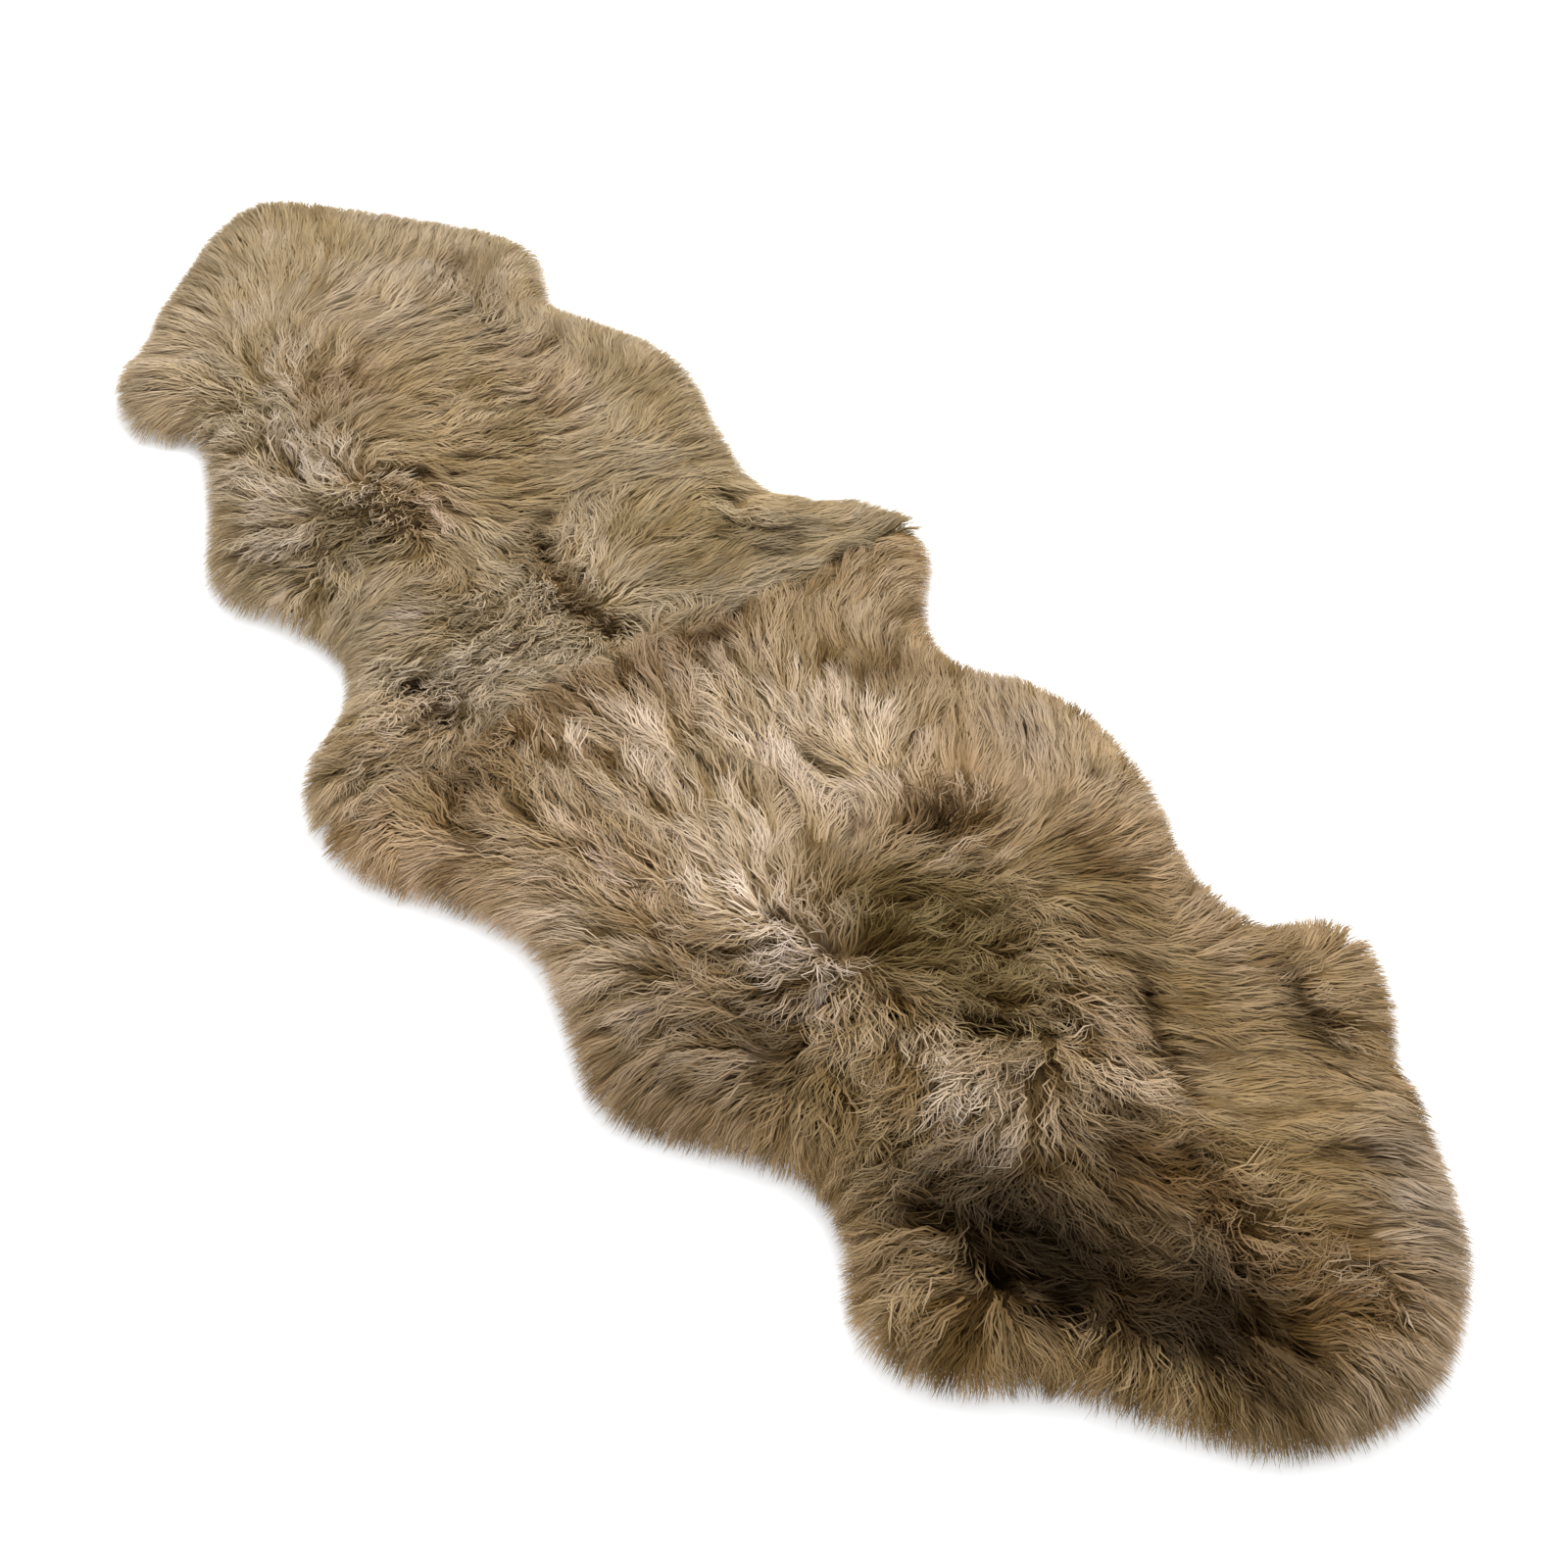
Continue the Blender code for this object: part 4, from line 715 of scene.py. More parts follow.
def coat():
    """Every wisp's root and what is true of the wool there."""
    roots, inward, out = wisp_roots()
    rimward = np.clip(1 - inward / RIM_REACH, 0, 1)
    tufted, curl = feel_at(roots)
    lean, agreed = nap_at(roots, inward, out)
    heading = np.arctan2(lean[:, 1], lean[:, 0])
    heading += (SWAY.smooth + SWAY.curly * curl) * clouds(roots, "heading") * (1 - RIM_STEADIES * rimward)
    ways = np.stack([np.cos(heading), np.sin(heading)], axis=1)
    tuft, in_tuft = cells(roots, ways, TUFT_STEP, TUFT_STRETCH, SEEDS.tufts)
    lock, in_lock = cells(roots, ways, LOCK_STEP, LOCK_STRETCH, SEEDS.locks)
    past = past_join(roots)
    near = past > 0
    return Coat(
        roots=roots,
        inward=inward,
        rimward=rimward,
        calm=np.clip(1 - RIM_CALMS * rimward, 0, 1),
        near=near,
        over_join=near * np.exp(-(past / JOIN_CREST) ** 2),
        tufted=tufted,
        bunched=SMOOTH_BUNCHES + (1 - SMOOTH_BUNCHES) * tufted,
        curl=curl,
        loose=1 - agreed,
        parting=parting_at(roots),
        heading=heading,
        tuft=tuft,
        in_tuft=in_tuft,
        tuft_crest=crest(in_tuft, TUFT_STEP, TUFT_STRETCH),
        lock=lock,
        in_lock=in_lock,
        lock_crest=crest(in_lock, LOCK_STEP, LOCK_STRETCH),
    )


def headings(wool, rng):
    """Which way each wisp sets off, and how far its tip hooks sideways, in radians."""
    by_tuft = drawn(rng, HEADING.tuft, wool.tuft) * wool.tufted
    heading = wool.heading + (by_tuft + drawn(rng, HEADING.lock, wool.lock)) * wool.calm
    heading += drawn(rng, HEADING.curly_lock, wool.lock) * wool.curl * wool.calm
    wild = 1 + WILDER.tufted * wool.tufted + WILDER.curly * wool.curl + WILDER.loose * wool.loose
    heading += rng.normal(0, HEADING.wisp, len(heading)) * wild
    by_tuft = drawn(rng, HOOK.tuft, wool.tuft) * wool.tufted * wool.calm
    return heading, by_tuft + drawn(rng, HOOK.lock, wool.lock) * wool.curl


def lengths(wool, heading, rng):
    """How long each wisp is. Those in a parting or over one are shorter."""
    length = np.where(wool.near, LENGTH.near, LENGTH.far) * (1 + LENGTH.tufted * wool.tufted)
    length *= 1 + LENGTH.curly * wool.curl
    by_tuft = drawn(rng, LENGTH.tuft, wool.tuft) * wool.tufted
    length *= 1 + (by_tuft + drawn(rng, LENGTH.lock, wool.lock)) * wool.calm
    ways = np.stack([np.cos(heading), np.sin(heading)], axis=1)
    over = parting_at(wool.roots + ways * LIES_OVER.place * length[:, None])
    length *= 1 - PARTING_SHORTENS * np.maximum(wool.parting, LIES_OVER.share * over)
    uneven = 1 + rng.normal(0, LENGTH.wisp, len(length)) * (1 + wool.tufted)
    length *= (1 + LENGTH.crest * wool.over_join) * uneven
    return length


def pitches(wool, rng):
    """How steeply each wisp points up at its root and at its tip, in radians."""
    by, count, uneven = ROOT_PITCH, len(wool.roots), 1 + UNEVEN * wool.tufted
    root = by.smooth + by.tufted * wool.tufted + by.cloudy * clouds(wool.roots, "root pitch")
    root += drawn(rng, by.tuft, wool.tuft) * wool.tufted * wool.calm
    feel = rng.normal(0, by.wisp, count) * uneven + by.curly * wool.curl + by.loose * wool.loose
    root += feel + by.crest * wool.over_join
    by = TIP_PITCH
    tip = by.smooth + by.cloudy * clouds(wool.roots, "tip pitch") + by.curly * wool.curl
    tip += by.loose * wool.loose
    tip += by.rim * wool.rimward
    tip += rng.normal(0, by.wisp, count) * uneven
    return np.radians(root)[:, None], np.radians(tip)[:, None]


def swings(wool, length, t, rng):
    """How far each wisp turns from side to side along its wave, in radians by ring."""
    by = WAVE
    wave = by.smooth + by.cloudy * clouds(wool.roots, "wave")
    wave = wave + by.tufted * wool.tufted + by.curly * wool.curl
    phase = 2.0 * math.pi * clouds(wool.roots, "phase")
    phase += drawn(rng, by.lock, wool.lock) * (1 + by.curly_lock * wool.curl)
    turns = length / (WAVE_LENGTH.smooth + WAVE_LENGTH.curly * wool.curl)
    sine = np.sin(2 * math.pi * turns[:, None] * t + phase[:, None])
    return wave[:, None] * sine * np.minimum(1, by.sets_in * t)


def pulled(wool):
    """How far the tip of each wisp is drawn to the middle of its lock and tuft."""
    held = wool.tufted * wool.calm * (1 - CURL_FREES * wool.curl)
    hold = LOCK_HOLD.smooth + LOCK_HOLD.tufted * wool.tufted + LOCK_HOLD.curly * wool.curl
    across = -TUFT_PULL * held * wool.in_tuft[:, 1]
    across -= LOCK_PULL * hold * wool.calm * wool.in_lock[:, 1]
    along = -TUFT_GATHER * held * wool.in_tuft[:, 0]
    cos, sin = np.cos(wool.heading), np.sin(wool.heading)
    return np.stack([along * cos - across * sin, along * sin + across * cos], axis=1)


def lift(lines, wool, t, rng):
    """Sets the lines on the mound, the middles of locks and tufts higher, and keeps them over it."""
    rise = TUFT_RISE * (wool.tuft_crest - LEVEL_CREST) + drawn(rng, TUFT_RISE_SPREAD, wool.tuft)
    rise = (rise * wool.bunched + LOCK_RISE * (wool.lock_crest - LEVEL_CREST)) * wool.calm
    surface = mound_height(wool.roots, wool.inward)
    lines[..., 2] += (surface - ROOT_DEPTH)[:, None]
    lines[..., 2] += rise[:, None] * np.minimum(1, BUNCH_LIFTS * t)
    level = surface - bumps_at(wool.roots) - RIM_DROOP * wool.rimward
    for k in range(1, RINGS):
        ground = level + bumps_at(lines[:, k, :2]) + WOOL_OVER_MOUND * k
        lines[:, k, 2] = np.maximum(lines[:, k, 2], ground)


def wisp_lines(wool, rng):
    """The centre line of each wisp from its root, as points by ring."""
    t = np.linspace(0, 1, RINGS)[None]
    heading, hook = headings(wool, rng)
    length = lengths(wool, heading, rng)
    root_pitch, tip_pitch = pitches(wool, rng)
    pitch = tip_pitch + (root_pitch - tip_pitch) * (1 - t) ** TIP_PITCH.power
    way = heading[:, None] + swings(wool, length, t, rng) + hook[:, None] * t ** HOOK.power
    steps = np.stack([np.cos(pitch) * np.cos(way), np.cos(pitch) * np.sin(way), np.sin(pitch)], axis=-1)
    steps[:, 0] = 0
    lines = np.cumsum(steps, axis=1) * (length / (RINGS - 1))[:, None, None]
    lines[..., :2] += wool.roots[:, None] + pulled(wool)[:, None] * (t ** GATHER_POWER)[..., None]
    lift(lines, wool, t, rng)
    return lines


def short_of_partings(lines, own, rng):
    """The lines again, those that would lie over a deep parting drawn in to end at its edge."""
    limit = np.maximum(rng.uniform(*PARTING_LIMITS, len(lines)), own + PARTING_OWN)
    kept = np.ones(len(lines))
    for share in np.linspace(1, SHORTEST, PARTING_TRIMS):
        place = share * (RINGS - 1)
        k = min(int(place), RINGS - 2)
        points = lines[:, k, :2] + (lines[:, k + 1, :2] - lines[:, k, :2]) * (place - k)
        kept[parting_at(points) > limit] = share
    root = lines[:, :1]
    return root + (lines - root) * kept[:, None, None]


def kept_at_rim(lines, inward, rng):
    """The lines again, those that reach past the rim of the rug drawn in to end there."""
    past, _ = rim_of(lines[:, -1, :2])
    allowed = rng.normal(0, RIM_FUZZ, len(lines))
    share = np.where(past < allowed, (inward - allowed) / np.maximum(inward - past, 1e-6), 1)
    root = lines[:, :1, :2]
    lines[..., :2] = root + (lines[..., :2] - root) * np.clip(share, SHORTEST, 1)[:, None, None]
    low = FLOOR_CLEARANCE + rng.uniform(0, FLOOR_SPREAD, len(lines))
    lines[..., 2] = np.clip(lines[..., 2], low[:, None], HIGHEST)
    return lines


def warmth_and_painted_shade(wool, rng):
    """How warm each wisp's colour is: at random, and most at the edges of its tuft, where it is painted
    shade.
    """
    by = WARMTH
    warm = by.cloudy * clouds(wool.roots, "warmth")
    warm += (by.edge * (by.level - wool.tuft_crest) + drawn(rng, by.tuft, wool.tuft)) * wool.tufted
    return np.clip(warm, by.least, by.most)[:, None]


def tone_and_painted_light(wool, rng):
    """How light each wisp is: random in tone, with painted light in the middle of its lock and tuft and
    painted shade at their edges.
    """
    shade = 1 + SHADE.fine * clouds(wool.roots, "fine shade")
    shade += SHADE.broad * clouds(wool.roots, "broad shade")
    shade += rng.normal(0, SHADE.wisp, len(wool.roots)) * (1 + UNEVEN * wool.tufted)
    by = LOCK_SHADE
    feel = by.smooth + by.tufted * wool.tufted + by.curly * wool.curl
    shade += (drawn(rng, by.lock, wool.lock) + by.crest * (wool.lock_crest - SHADE.level)) * feel
    by = TUFT_SHADE
    bunched = wool.bunched * np.where(wool.near, NEAR_BUNCHES, FAR_BUNCHES)
    by_tuft = (drawn(rng, by.tuft, wool.tuft) + by.crest * (wool.tuft_crest - SHADE.level)) * bunched
    shade += by_tuft * (1 + by.curly * wool.curl)
    return np.clip(shade, SHADE.least, SHADE.most)[:, None]


def between(low, high, share):
    """Colours from low to high, by each wisp's share."""
    return np.array(low) + (np.array(high) - np.array(low)) * share[:, None]


def wisp_colours(wool, lines, rng):
    """Each wisp's colour by ring: painted shade, dark and golden, at its root, its tuft's edges and in
    partings, and pale at its tip, partly as painted highlight.
    """
    stray = np.stack([drawn(rng, COLOUR_STRAY, wool.lock) for _ in range(2)], axis=1)
    stray += np.stack([drawn(rng, COLOUR_STRAY, wool.tuft) * wool.tufted for _ in range(2)], axis=1)
    colour = colour_at(lines[:, SEEN_RING, :2] + stray, wool.near)
    warm = warmth_and_painted_shade(wool, rng)
    colour = colour * tone_and_painted_light(wool, rng) ** np.array(SHADE_POWERS) * (1 - warm * np.array(WARM_TONE_AND_SHADE))

    # The deep colours, darker at the root, are painted shade at the roots of tufted wool and in partings.
    depth = np.clip(TUFTED_DEPTH * wool.tufted + wool.parting, 0, 1)
    root = between(SOFT_ROOT, DEEP_ROOT, depth)
    middle = between(SOFT_MIDDLE, DEEP_MIDDLE, depth)
    tip = between(SOFT_TIP, DEEP_TIP, depth)
    rings = []
    for k, t in enumerate(np.linspace(0, 1, RINGS)):
        own = root + (middle - root) * min(1, 2 * t) + (tip - middle) * max(0, 2 * t - 1)
        # In a parting each ring is painted darker, as shade.
        parting = parting_at(lines[:, k, :2] + PARTING_STRAY * stray)[:, None]
        # At the rim the tips are painted lighter, as glow.
        painted_glow = 1 + wool.rimward[:, None] * t * np.array(RIM_PAINTED_GLOW)
        rings.append(colour * own * painted_glow * (1 - parting ** PARTING_POWER * np.array(PARTING_PAINTED_SHADES)))
    return np.stack(rings, axis=1)


def wisps():
    """All wisps. Their tilt turns their faces sideways for the light, so that locks and tufts look round."""
    rng = np.random.default_rng(SEEDS.growth)
    wool = coat()
    lines = short_of_partings(wisp_lines(wool, rng), wool.parting, rng)
    lines = kept_at_rim(lines, wool.inward, rng)
    colours = wisp_colours(wool, lines, rng)
    width = WISP_WIDTH * (1 + rng.normal(0, WIDTH_SPREAD, len(lines))) * (1 - wool.rimward)
    width *= 1 + PARTING_WIDENS * wool.parting
    hold = LOCK_HOLD.smooth + LOCK_HOLD.tufted * wool.tufted
    tilt = LOCK_ROUNDING * 2 * LOCK_STRETCH / LOCK_STEP * wool.in_lock[:, 1] * hold
    tilt += TUFT_ROUNDING * 2 * TUFT_STRETCH / TUFT_STEP * wool.in_tuft[:, 1] * wool.bunched
    tilt = np.clip(tilt, -MOST_TILT, MOST_TILT) * (1 - RIM_FLATTENS * wool.rimward)
    return Wisps(lines, colours, width, tilt, wool.near)


def placed(name, data):
    """A new object of a mesh, curve, lamp or camera, in the scene."""
    obj = bpy.data.objects.new(name, data)
    bpy.context.scene.collection.objects.link(obj)
    return obj


def carry(mesh, name, kind, field, values):
    """Stores values for each vertex of a mesh under a name that its material reads."""
    mesh.attributes.new(name, kind, "POINT").data.foreach_set(field, values.astype(np.float32).ravel())


def by_vertex(rings):
    """Values by ring for the vertices of a ribbon: two for each ring, one for its tip."""
    return np.concatenate([np.repeat(rings[:, :-1], 2, axis=1), rings[:, -1:]], axis=1)


def ribbon_mesh(name, verts):
    """A mesh of ribbons: each of quads between its rings, with a triangle at its tip."""
    count, per = verts.shape[:2]
    quads = np.array([[2 * k, 2 * k + 1, 2 * k + 3, 2 * k + 2] for k in range(RINGS - 2)])
    tip = np.array([2 * RINGS - 4, 2 * RINGS - 3, 2 * RINGS - 2])
    pattern = np.concatenate([quads.ravel(), tip])
    corners = (np.arange(count)[:, None] * per + pattern[None]).ravel()
    sizes = np.tile(np.array([4] * len(quads) + [3]), count)
    starts = np.concatenate([[0], np.cumsum(sizes)[:-1]])
    mesh = bpy.data.meshes.new(name)
    mesh.vertices.add(count * per)
    mesh.vertices.foreach_set("co", verts.astype(np.float32).ravel())
    mesh.loops.add(len(corners))
    mesh.loops.foreach_set("vertex_index", corners.astype(np.int32))
    mesh.polygons.add(len(sizes))
    mesh.polygons.foreach_set("loop_start", starts.astype(np.int32))
    mesh.polygons.foreach_set("use_smooth", np.ones(len(sizes), bool))
    mesh.update(calc_edges=True)
    return mesh, corners


def ribbons(name, some, rng):
    """One mesh of tapered ribbons along the lines of some wisps, each with a pointed tip."""
    count = len(some.lines)
    along = np.gradient(some.lines, axis=1)
    along /= np.linalg.norm(along, axis=2, keepdims=True) + 1e-12
    level = np.cross(along, [0.0, 0.0, 1.0])
    level /= np.linalg.norm(level, axis=2, keepdims=True) + 1e-9
    upright = np.cross(level, along)
    roll = rng.normal(0, WISP_ROLL, count)[:, None, None]
    sideways = level * np.cos(roll) + upright * np.sin(roll)
    t = np.linspace(0, 1, RINGS)
    profile = (WISP_PROFILE.root + WISP_PROFILE.swells * t) * (1 - t ** WISP_PROFILE.power)
    half = sideways * (profile[None, :, None] * some.widths[:, None, None] / 2)
    pairs = np.stack([some.lines - half, some.lines + half], axis=2)[:, :-1]
    verts = np.concatenate([pairs.reshape(count, -1, 3), some.lines[:, -1:]], axis=1)
    mesh, corners = ribbon_mesh(name, verts)
    facing = upright + FACES_UP * np.array([0.0, 0.0, 1.0]) - level * some.tilts[:, None, None]
    facing /= np.linalg.norm(facing, axis=2, keepdims=True)
    mesh.normals_split_custom_set_from_vertices(by_vertex(facing).reshape(-1, 3))

    per = verts.shape[1]
    across = np.tile(np.append(np.tile([-1.0, 1.0], RINGS - 1), 0.0), count)
    own = np.repeat(rng.uniform(0, FIBRE_SHIFT, count), per)
    share = np.tile(by_vertex(t[None])[0], count)
    carry(mesh, "fibre", "FLOAT_VECTOR", "vector", np.stack([across, share, own], axis=1))
    rgba = np.ones((count * per, 4), np.float32)
    rgba[:, :3] = by_vertex(some.colours).reshape(-1, 3)
    carry(mesh, "wool_colour", "FLOAT_COLOR", "color", rgba)
    places = np.stack([rgba[:, 1] / rgba[:, 1].max(), share], axis=1)[corners]
    mesh.uv_layers.new(name="OFBake").uv.foreach_set("vector", places.astype(np.float32).ravel())
    return placed(name, mesh)


def pelt_outline(near_side, inset, step):
    """The closed outline of one pelt, moved in from the tips of the wool, with its run along the join."""
    side = 1 if near_side else -1
    edge = RIM - OUTWARD * (inset + EDGE_CLEARANCE)
    edge = edge[rim_of(edge)[0] > inset]
    edge = edge[past_join(edge) * side > JOIN_CLEARANCE]
    kept = [edge[0]]
    for point in edge[1:]:
        if np.linalg.norm(point - kept[-1]) > step * CLOSEST:
            kept.append(point)
    edge = np.array(kept)
    gaps = np.linalg.norm(np.roll(edge, -1, axis=0) - edge, axis=1)
    edge = np.roll(edge, -int(np.argmax(gaps)) - 1, axis=0)
    start, end = edge[-1, 1], edge[0, 1]
    ys = np.linspace(start, end, max(3, int(abs(end - start) / step)))[1:-1]
    join = np.stack([join_at(ys) + side * JOIN_GAP, ys], axis=1)
    return np.vstack([edge, join])


def raised(name, outline, inner, bottom, height_at, mat):
    """A closed piece over an outline: level below, its upper face as high as height_at says."""
    count = len(outline)
    edges = [(k, (k + 1) % count) for k in range(count)]
    flat = [Vector(p) for p in np.vstack([outline, inner])]
    found = delaunay_2d_cdt(flat, edges, [list(range(count))], 1, 1e-7)
    places = np.array([list(p) for p in found[0]])
    bm = bmesh.new()
    top = [bm.verts.new((*p, h)) for p, h in zip(places, height_at(places))]
    for face in found[2]:
        bm.faces.new([top[k] for k in face])
    extruded = bmesh.ops.extrude_face_region(bm, geom=bm.faces[:])
    for part in extruded["geom"]:
        if isinstance(part, bmesh.types.BMVert):
            part.co.z = bottom
    bmesh.ops.recalc_face_normals(bm, faces=bm.faces[:])
    mesh = bpy.data.meshes.new(name)
    bm.to_mesh(mesh)
    bm.free()
    mesh.materials.append(mat)
    return placed(name, mesh)


def mound(name, near_side, mat):
    """The woolly mound over one skin, closed below."""
    outline = pelt_outline(near_side, MOUND_INSET, MOUND_STEP)
    inner, _, _ = scattered(MOUND_STEP, SEEDS.mound, MOUND_INSET + MOUND_MARGIN)
    inner = inner[past_join(inner) * (1 if near_side else -1) > MOUND_JOIN_MARGIN]
    obj = raised(name, outline, inner, MOUND_FLOOR, mesh_height, mat)
    obj.data.shade_smooth()
    places = np.array([vert.co[:2] for vert in obj.data.vertices])
    rgba = np.ones((len(places), 4), np.float32)
    # The mound is painted darker still in partings, as shade.
    painted_parting_shade = 1 - parting_at(places)[:, None] * np.array(PARTING_PAINTED_SHADES)
    rgba[:, :3] = colour_at(places, np.full(len(places), near_side)) * np.array(MOUND_PAINTED_SHADES) * painted_parting_shade
    carry(obj.data, "wool_colour", "FLOAT_COLOR", "color", rgba)
    return obj


def skin(name, near_side, mat):
    """One tanned skin, and its flat size as width, length and area."""
    outline = pelt_outline(near_side, SKIN_INSET, SKIN_STEP)
    top = SKIN_BOTTOM + SKIN_THICKNESS
    obj = raised(name, outline, np.empty((0, 2)), SKIN_BOTTOM, lambda p: np.full(len(p), top), mat)
    width, length = np.ptp(outline[:, 1]), np.ptp(outline[:, 0])
    return obj, (float(width), float(length)), float(abs(signed_area(outline)))


def seam_thread(mat):
    """The thread that whips the two skins together, seen from below as a zigzag over the join."""
    curve = bpy.data.curves.new("seam_thread", "CURVE")
    curve.dimensions = "3D"
    curve.bevel_depth = THREAD_RADIUS
    curve.bevel_resolution = 1
    curve.use_fill_caps = True
    run_end = pelt_outline(True, SKIN_INSET, SKIN_STEP)[-1]       # the last point along the join
    half = abs(run_end[1]) - STITCH_STEP
    ys = np.arange(-half, half, STITCH_STEP)
    spline = curve.splines.new("POLY")
    spline.points.add(len(ys) - 1)
    for k, (point, y) in enumerate(zip(spline.points, ys)):
        x = join_at(y) + STITCH_REACH * (-1) ** k
        point.co = (x, y, THREAD_RADIUS + THREAD_CLEARANCE, 1)
    curve.materials.append(mat)
    return placed("seam_thread", curve)


def new_material(name, **looks):
    """A new material, with the given values set on its shader, such as roughness."""
    mat = bpy.data.materials.new(name)
    mat.use_nodes = True
    for look, value in looks.items():
        mat.node_tree.nodes["Principled BSDF"].inputs[look.replace("_", " ")].default_value = value
    return mat


def add_node(mat, kind, inputs, **settings):
    """A new node of a material. Each input is a value, or the output of another node."""
    node = mat.node_tree.nodes.new("ShaderNode" + kind)
    for name, value in settings.items():
        setattr(node, name, value)
    for name, value in inputs.items():
        if isinstance(value, bpy.types.NodeSocket):
            mat.node_tree.links.new(value, node.inputs[name])
        else:
            node.inputs[name].default_value = value
    return node


def ramp(mat, share, low, high, ends=(0, 1)):
    """The colours from low to high, as a share runs from one end to the other."""
    node = add_node(mat, "ValToRGB", {"Fac": share})
    for element, colour, end in zip(node.color_ramp.elements, (low, high), ends):
        element.color = (*colour, 1)
        element.position = end
    return node.outputs["Color"]


def noise(mat, place, scale, detail):
    """Noise of the given scale at a place."""
    return add_node(mat, "TexNoise", {"Vector": place, "Scale": scale, "Detail": detail}).outputs["Fac"]


def own_places(mat):
    """Where on its object each point lies."""
    return add_node(mat, "TexCoord", {}).outputs["Object"]


def carried_colour(mat, by):
    """The colour that the wool carries, multiplied by another one."""
    carried = add_node(mat, "Attribute", {}, attribute_name="wool_colour").outputs["Color"]
    inputs = {"Factor": 1.0, "A": carried, "B": by}
    return add_node(mat, "Mix", inputs, data_type="RGBA", blend_type="MULTIPLY").outputs["Result"]


def to_shader(mat, name, value):
    """Gives the output of a node to the material's shader."""
    mat.node_tree.links.new(value, mat.node_tree.nodes["Principled BSDF"].inputs[name])


def wool_material():
    """Wool: the colours that the wisps carry, streaked with fine fibres."""
    mat = new_material("wool", Roughness=0.62, Specular_IOR_Level=0.01)
    fibre = add_node(mat, "Attribute", {}, attribute_name="fibre").outputs["Vector"]
    stretch = add_node(mat, "VectorMath", {0: fibre, 1: (1.6, 1.2, 1.0)}, operation="MULTIPLY")
    fine = noise(mat, stretch.outputs["Vector"], 1, 1)
    streaks = ramp(mat, fine, (0.90, 0.87, 0.83), (1.07, 1.07, 1.08), (0.35, 0.62))
    to_shader(mat, "Base Color", carried_colour(mat, streaks))
    return mat


def mound_material():
    """The thick of the wool below the wisps: darker as painted shade, and cloudy."""
    mat = new_material("under_wool", Roughness=1, Specular_IOR_Level=0.01)
    cloudy = ramp(mat, noise(mat, own_places(mat), 90, 6), (0.75, 0.72, 0.68), (1.15, 1.15, 1.15))
    to_shader(mat, "Base Color", carried_colour(mat, cloudy))
    return mat


def skin_material():
    """The flesh side of a tanned hide: pale suede, cloudy, with a short nap of its own."""
    mat = new_material("tanned_skin", Roughness=0.85, Specular_IOR_Level=0.2, Sheen_Weight=0.15)
    places = own_places(mat)
    cloudy = ramp(mat, noise(mat, places, 9, 8), (0.50, 0.38, 0.25), (0.70, 0.58, 0.43), (0.3, 0.7))
    to_shader(mat, "Base Color", cloudy)
    nap = {"Height": noise(mat, places, 900, 3), "Strength": 0.35, "Distance": 0.0004}
    to_shader(mat, "Normal", add_node(mat, "Bump", nap).outputs["Normal"])
    return mat


def thread_material():
    """Waxed thread, laid up in strands that run round it."""
    mat = new_material("seam_thread", Roughness=0.5)
    inputs = {"Vector": own_places(mat), "Scale": 700}
    strands = add_node(mat, "TexWave", inputs, bands_direction="DIAGONAL").outputs["Fac"]
    to_shader(mat, "Base Color", ramp(mat, strands, (0.36, 0.27, 0.16), (0.60, 0.49, 0.34)))
    return mat


def camera():
    """The camera, at the photograph's viewing angle."""
    data = bpy.data.cameras.new("camera")
    data.lens = LENS
    data.sensor_width = SENSOR
    obj = placed("camera", data)
    obj.location = CAMERA_PLACE
    obj.rotation_euler = (math.radians(CAMERA_PITCH), 0, math.radians(CAMERA_TURN))
    bpy.context.scene.camera = obj


def lamp():
    """A large round lamp that faces the middle of the rug."""
    data = bpy.data.lights.new("key", "AREA")
    data.shape = "DISK"
    data.size = LAMP_SIZE
    data.energy = LAMP_POWER
    obj = placed("key", data)
    obj.location = LAMP_PLACE
    obj.rotation_euler = (-Vector(LAMP_PLACE)).to_track_quat("-Z", "Y").to_euler()


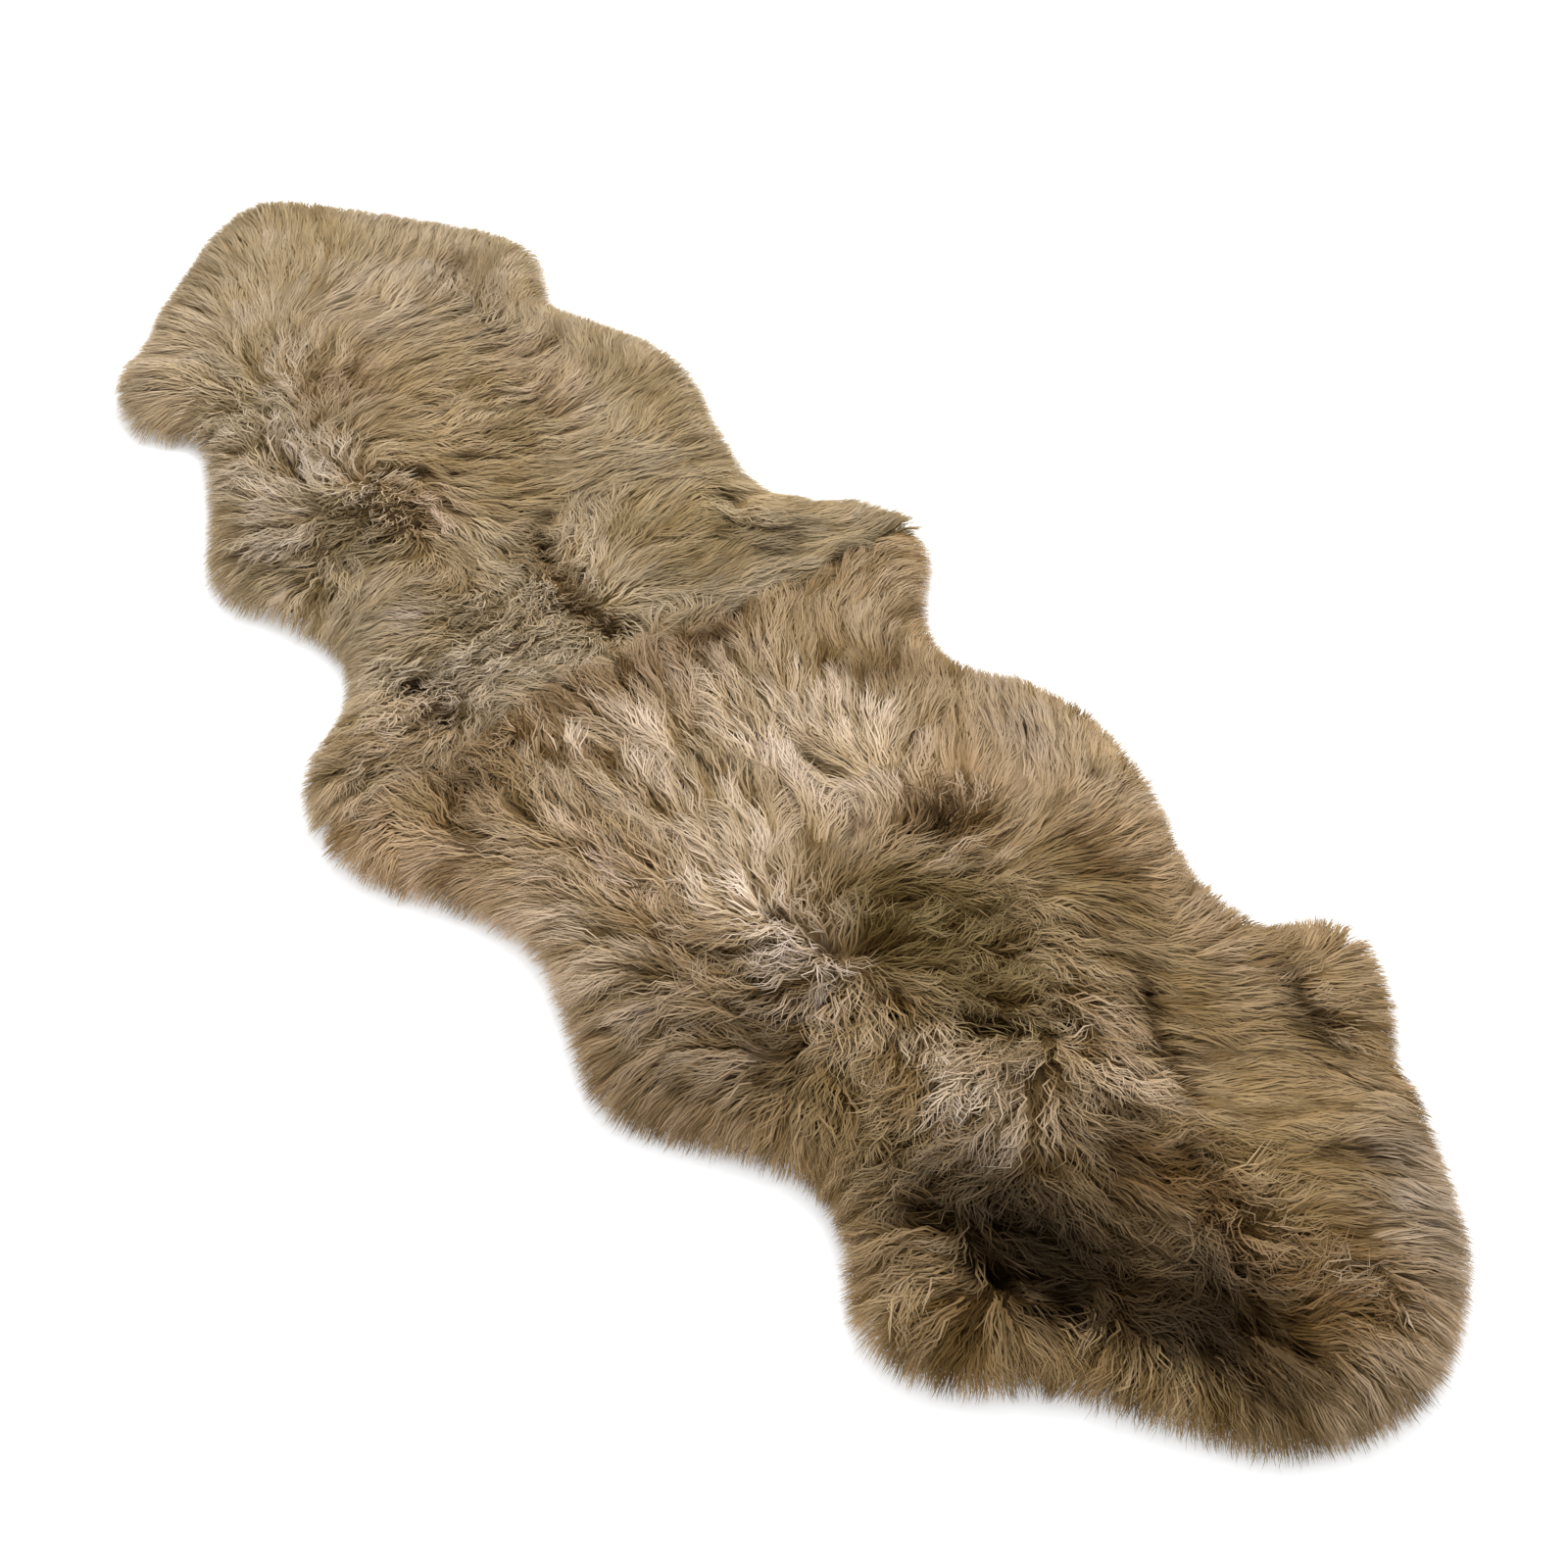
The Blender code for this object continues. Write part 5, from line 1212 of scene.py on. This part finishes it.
def floor():
    """The pale floor."""
    mesh = bpy.data.meshes.new("floor")
    corners = [(x * FLOOR_HALF, y * FLOOR_HALF, 0) for x, y in ((-1, -1), (1, -1), (1, 1), (-1, 1))]
    mesh.from_pydata(corners, [], [(0, 1, 2, 3)])
    mesh.materials.append(new_material(
        "floor", Base_Color=(0.88, 0.88, 0.88, 1), Roughness=0.9, Specular_IOR_Level=0.1,
        Emission_Color=(0.96, 0.98, 1.0, 1), Emission_Strength=0.22,
    ))
    placed("floor", mesh)


def studio():
    """White light from all round, the lamp and the floor."""
    scene = bpy.context.scene
    scene.view_settings.view_transform = "Standard"
    scene.world = bpy.data.worlds.new("studio")
    scene.world.use_nodes = True
    background = scene.world.node_tree.nodes["Background"]
    background.inputs["Color"].default_value = (1, 1, 1, 1)
    background.inputs["Strength"].default_value = WORLD_STRENGTH
    lamp()
    floor()


def fleece(pelt, near_side, grown, wool, under, rng):
    """The pieces of one fleece: its mound, and its wisps in meshes of a limited size."""
    base = mound(f"{pelt}_fleece_mound", near_side, under)
    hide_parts(f"{pelt}_fleece")
    pieces = [base]
    mine = np.flatnonzero(grown.near == near_side)
    order = mine[np.argsort(grown.lines[mine, 0, 0])]
    faces = 2 * (RINGS - 2) + 1
    parts = math.ceil(len(order) * faces / MOST_FACES_PER_PIECE)
    for k, some in enumerate(np.array_split(order, parts)):
        obj = ribbons(f"{pelt}_fleece_wool_{k + 1}", Wisps(*(values[some] for values in grown)), rng)
        obj.data.materials.append(wool)
        pieces.append(obj)
    for piece in pieces:
        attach(piece, "root")
    return pieces


def build():
    """The studio, both pelts and their seam."""
    camera()
    studio()
    wool = wool_material()
    under = mound_material()
    suede = skin_material()
    grown = wisps()
    rng = np.random.default_rng(SEEDS.ribbons)
    for near_side, pelt in ((False, "far"), (True, "near")):
        pieces = fleece(pelt, near_side, grown, wool, under, rng)
        hide, flat, area = skin(f"{pelt}_hide", near_side, suede)
        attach(hide, "root")
        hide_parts(f"{pelt}_skin")
    thread = seam_thread(thread_material())
    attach(thread, "root")


build()
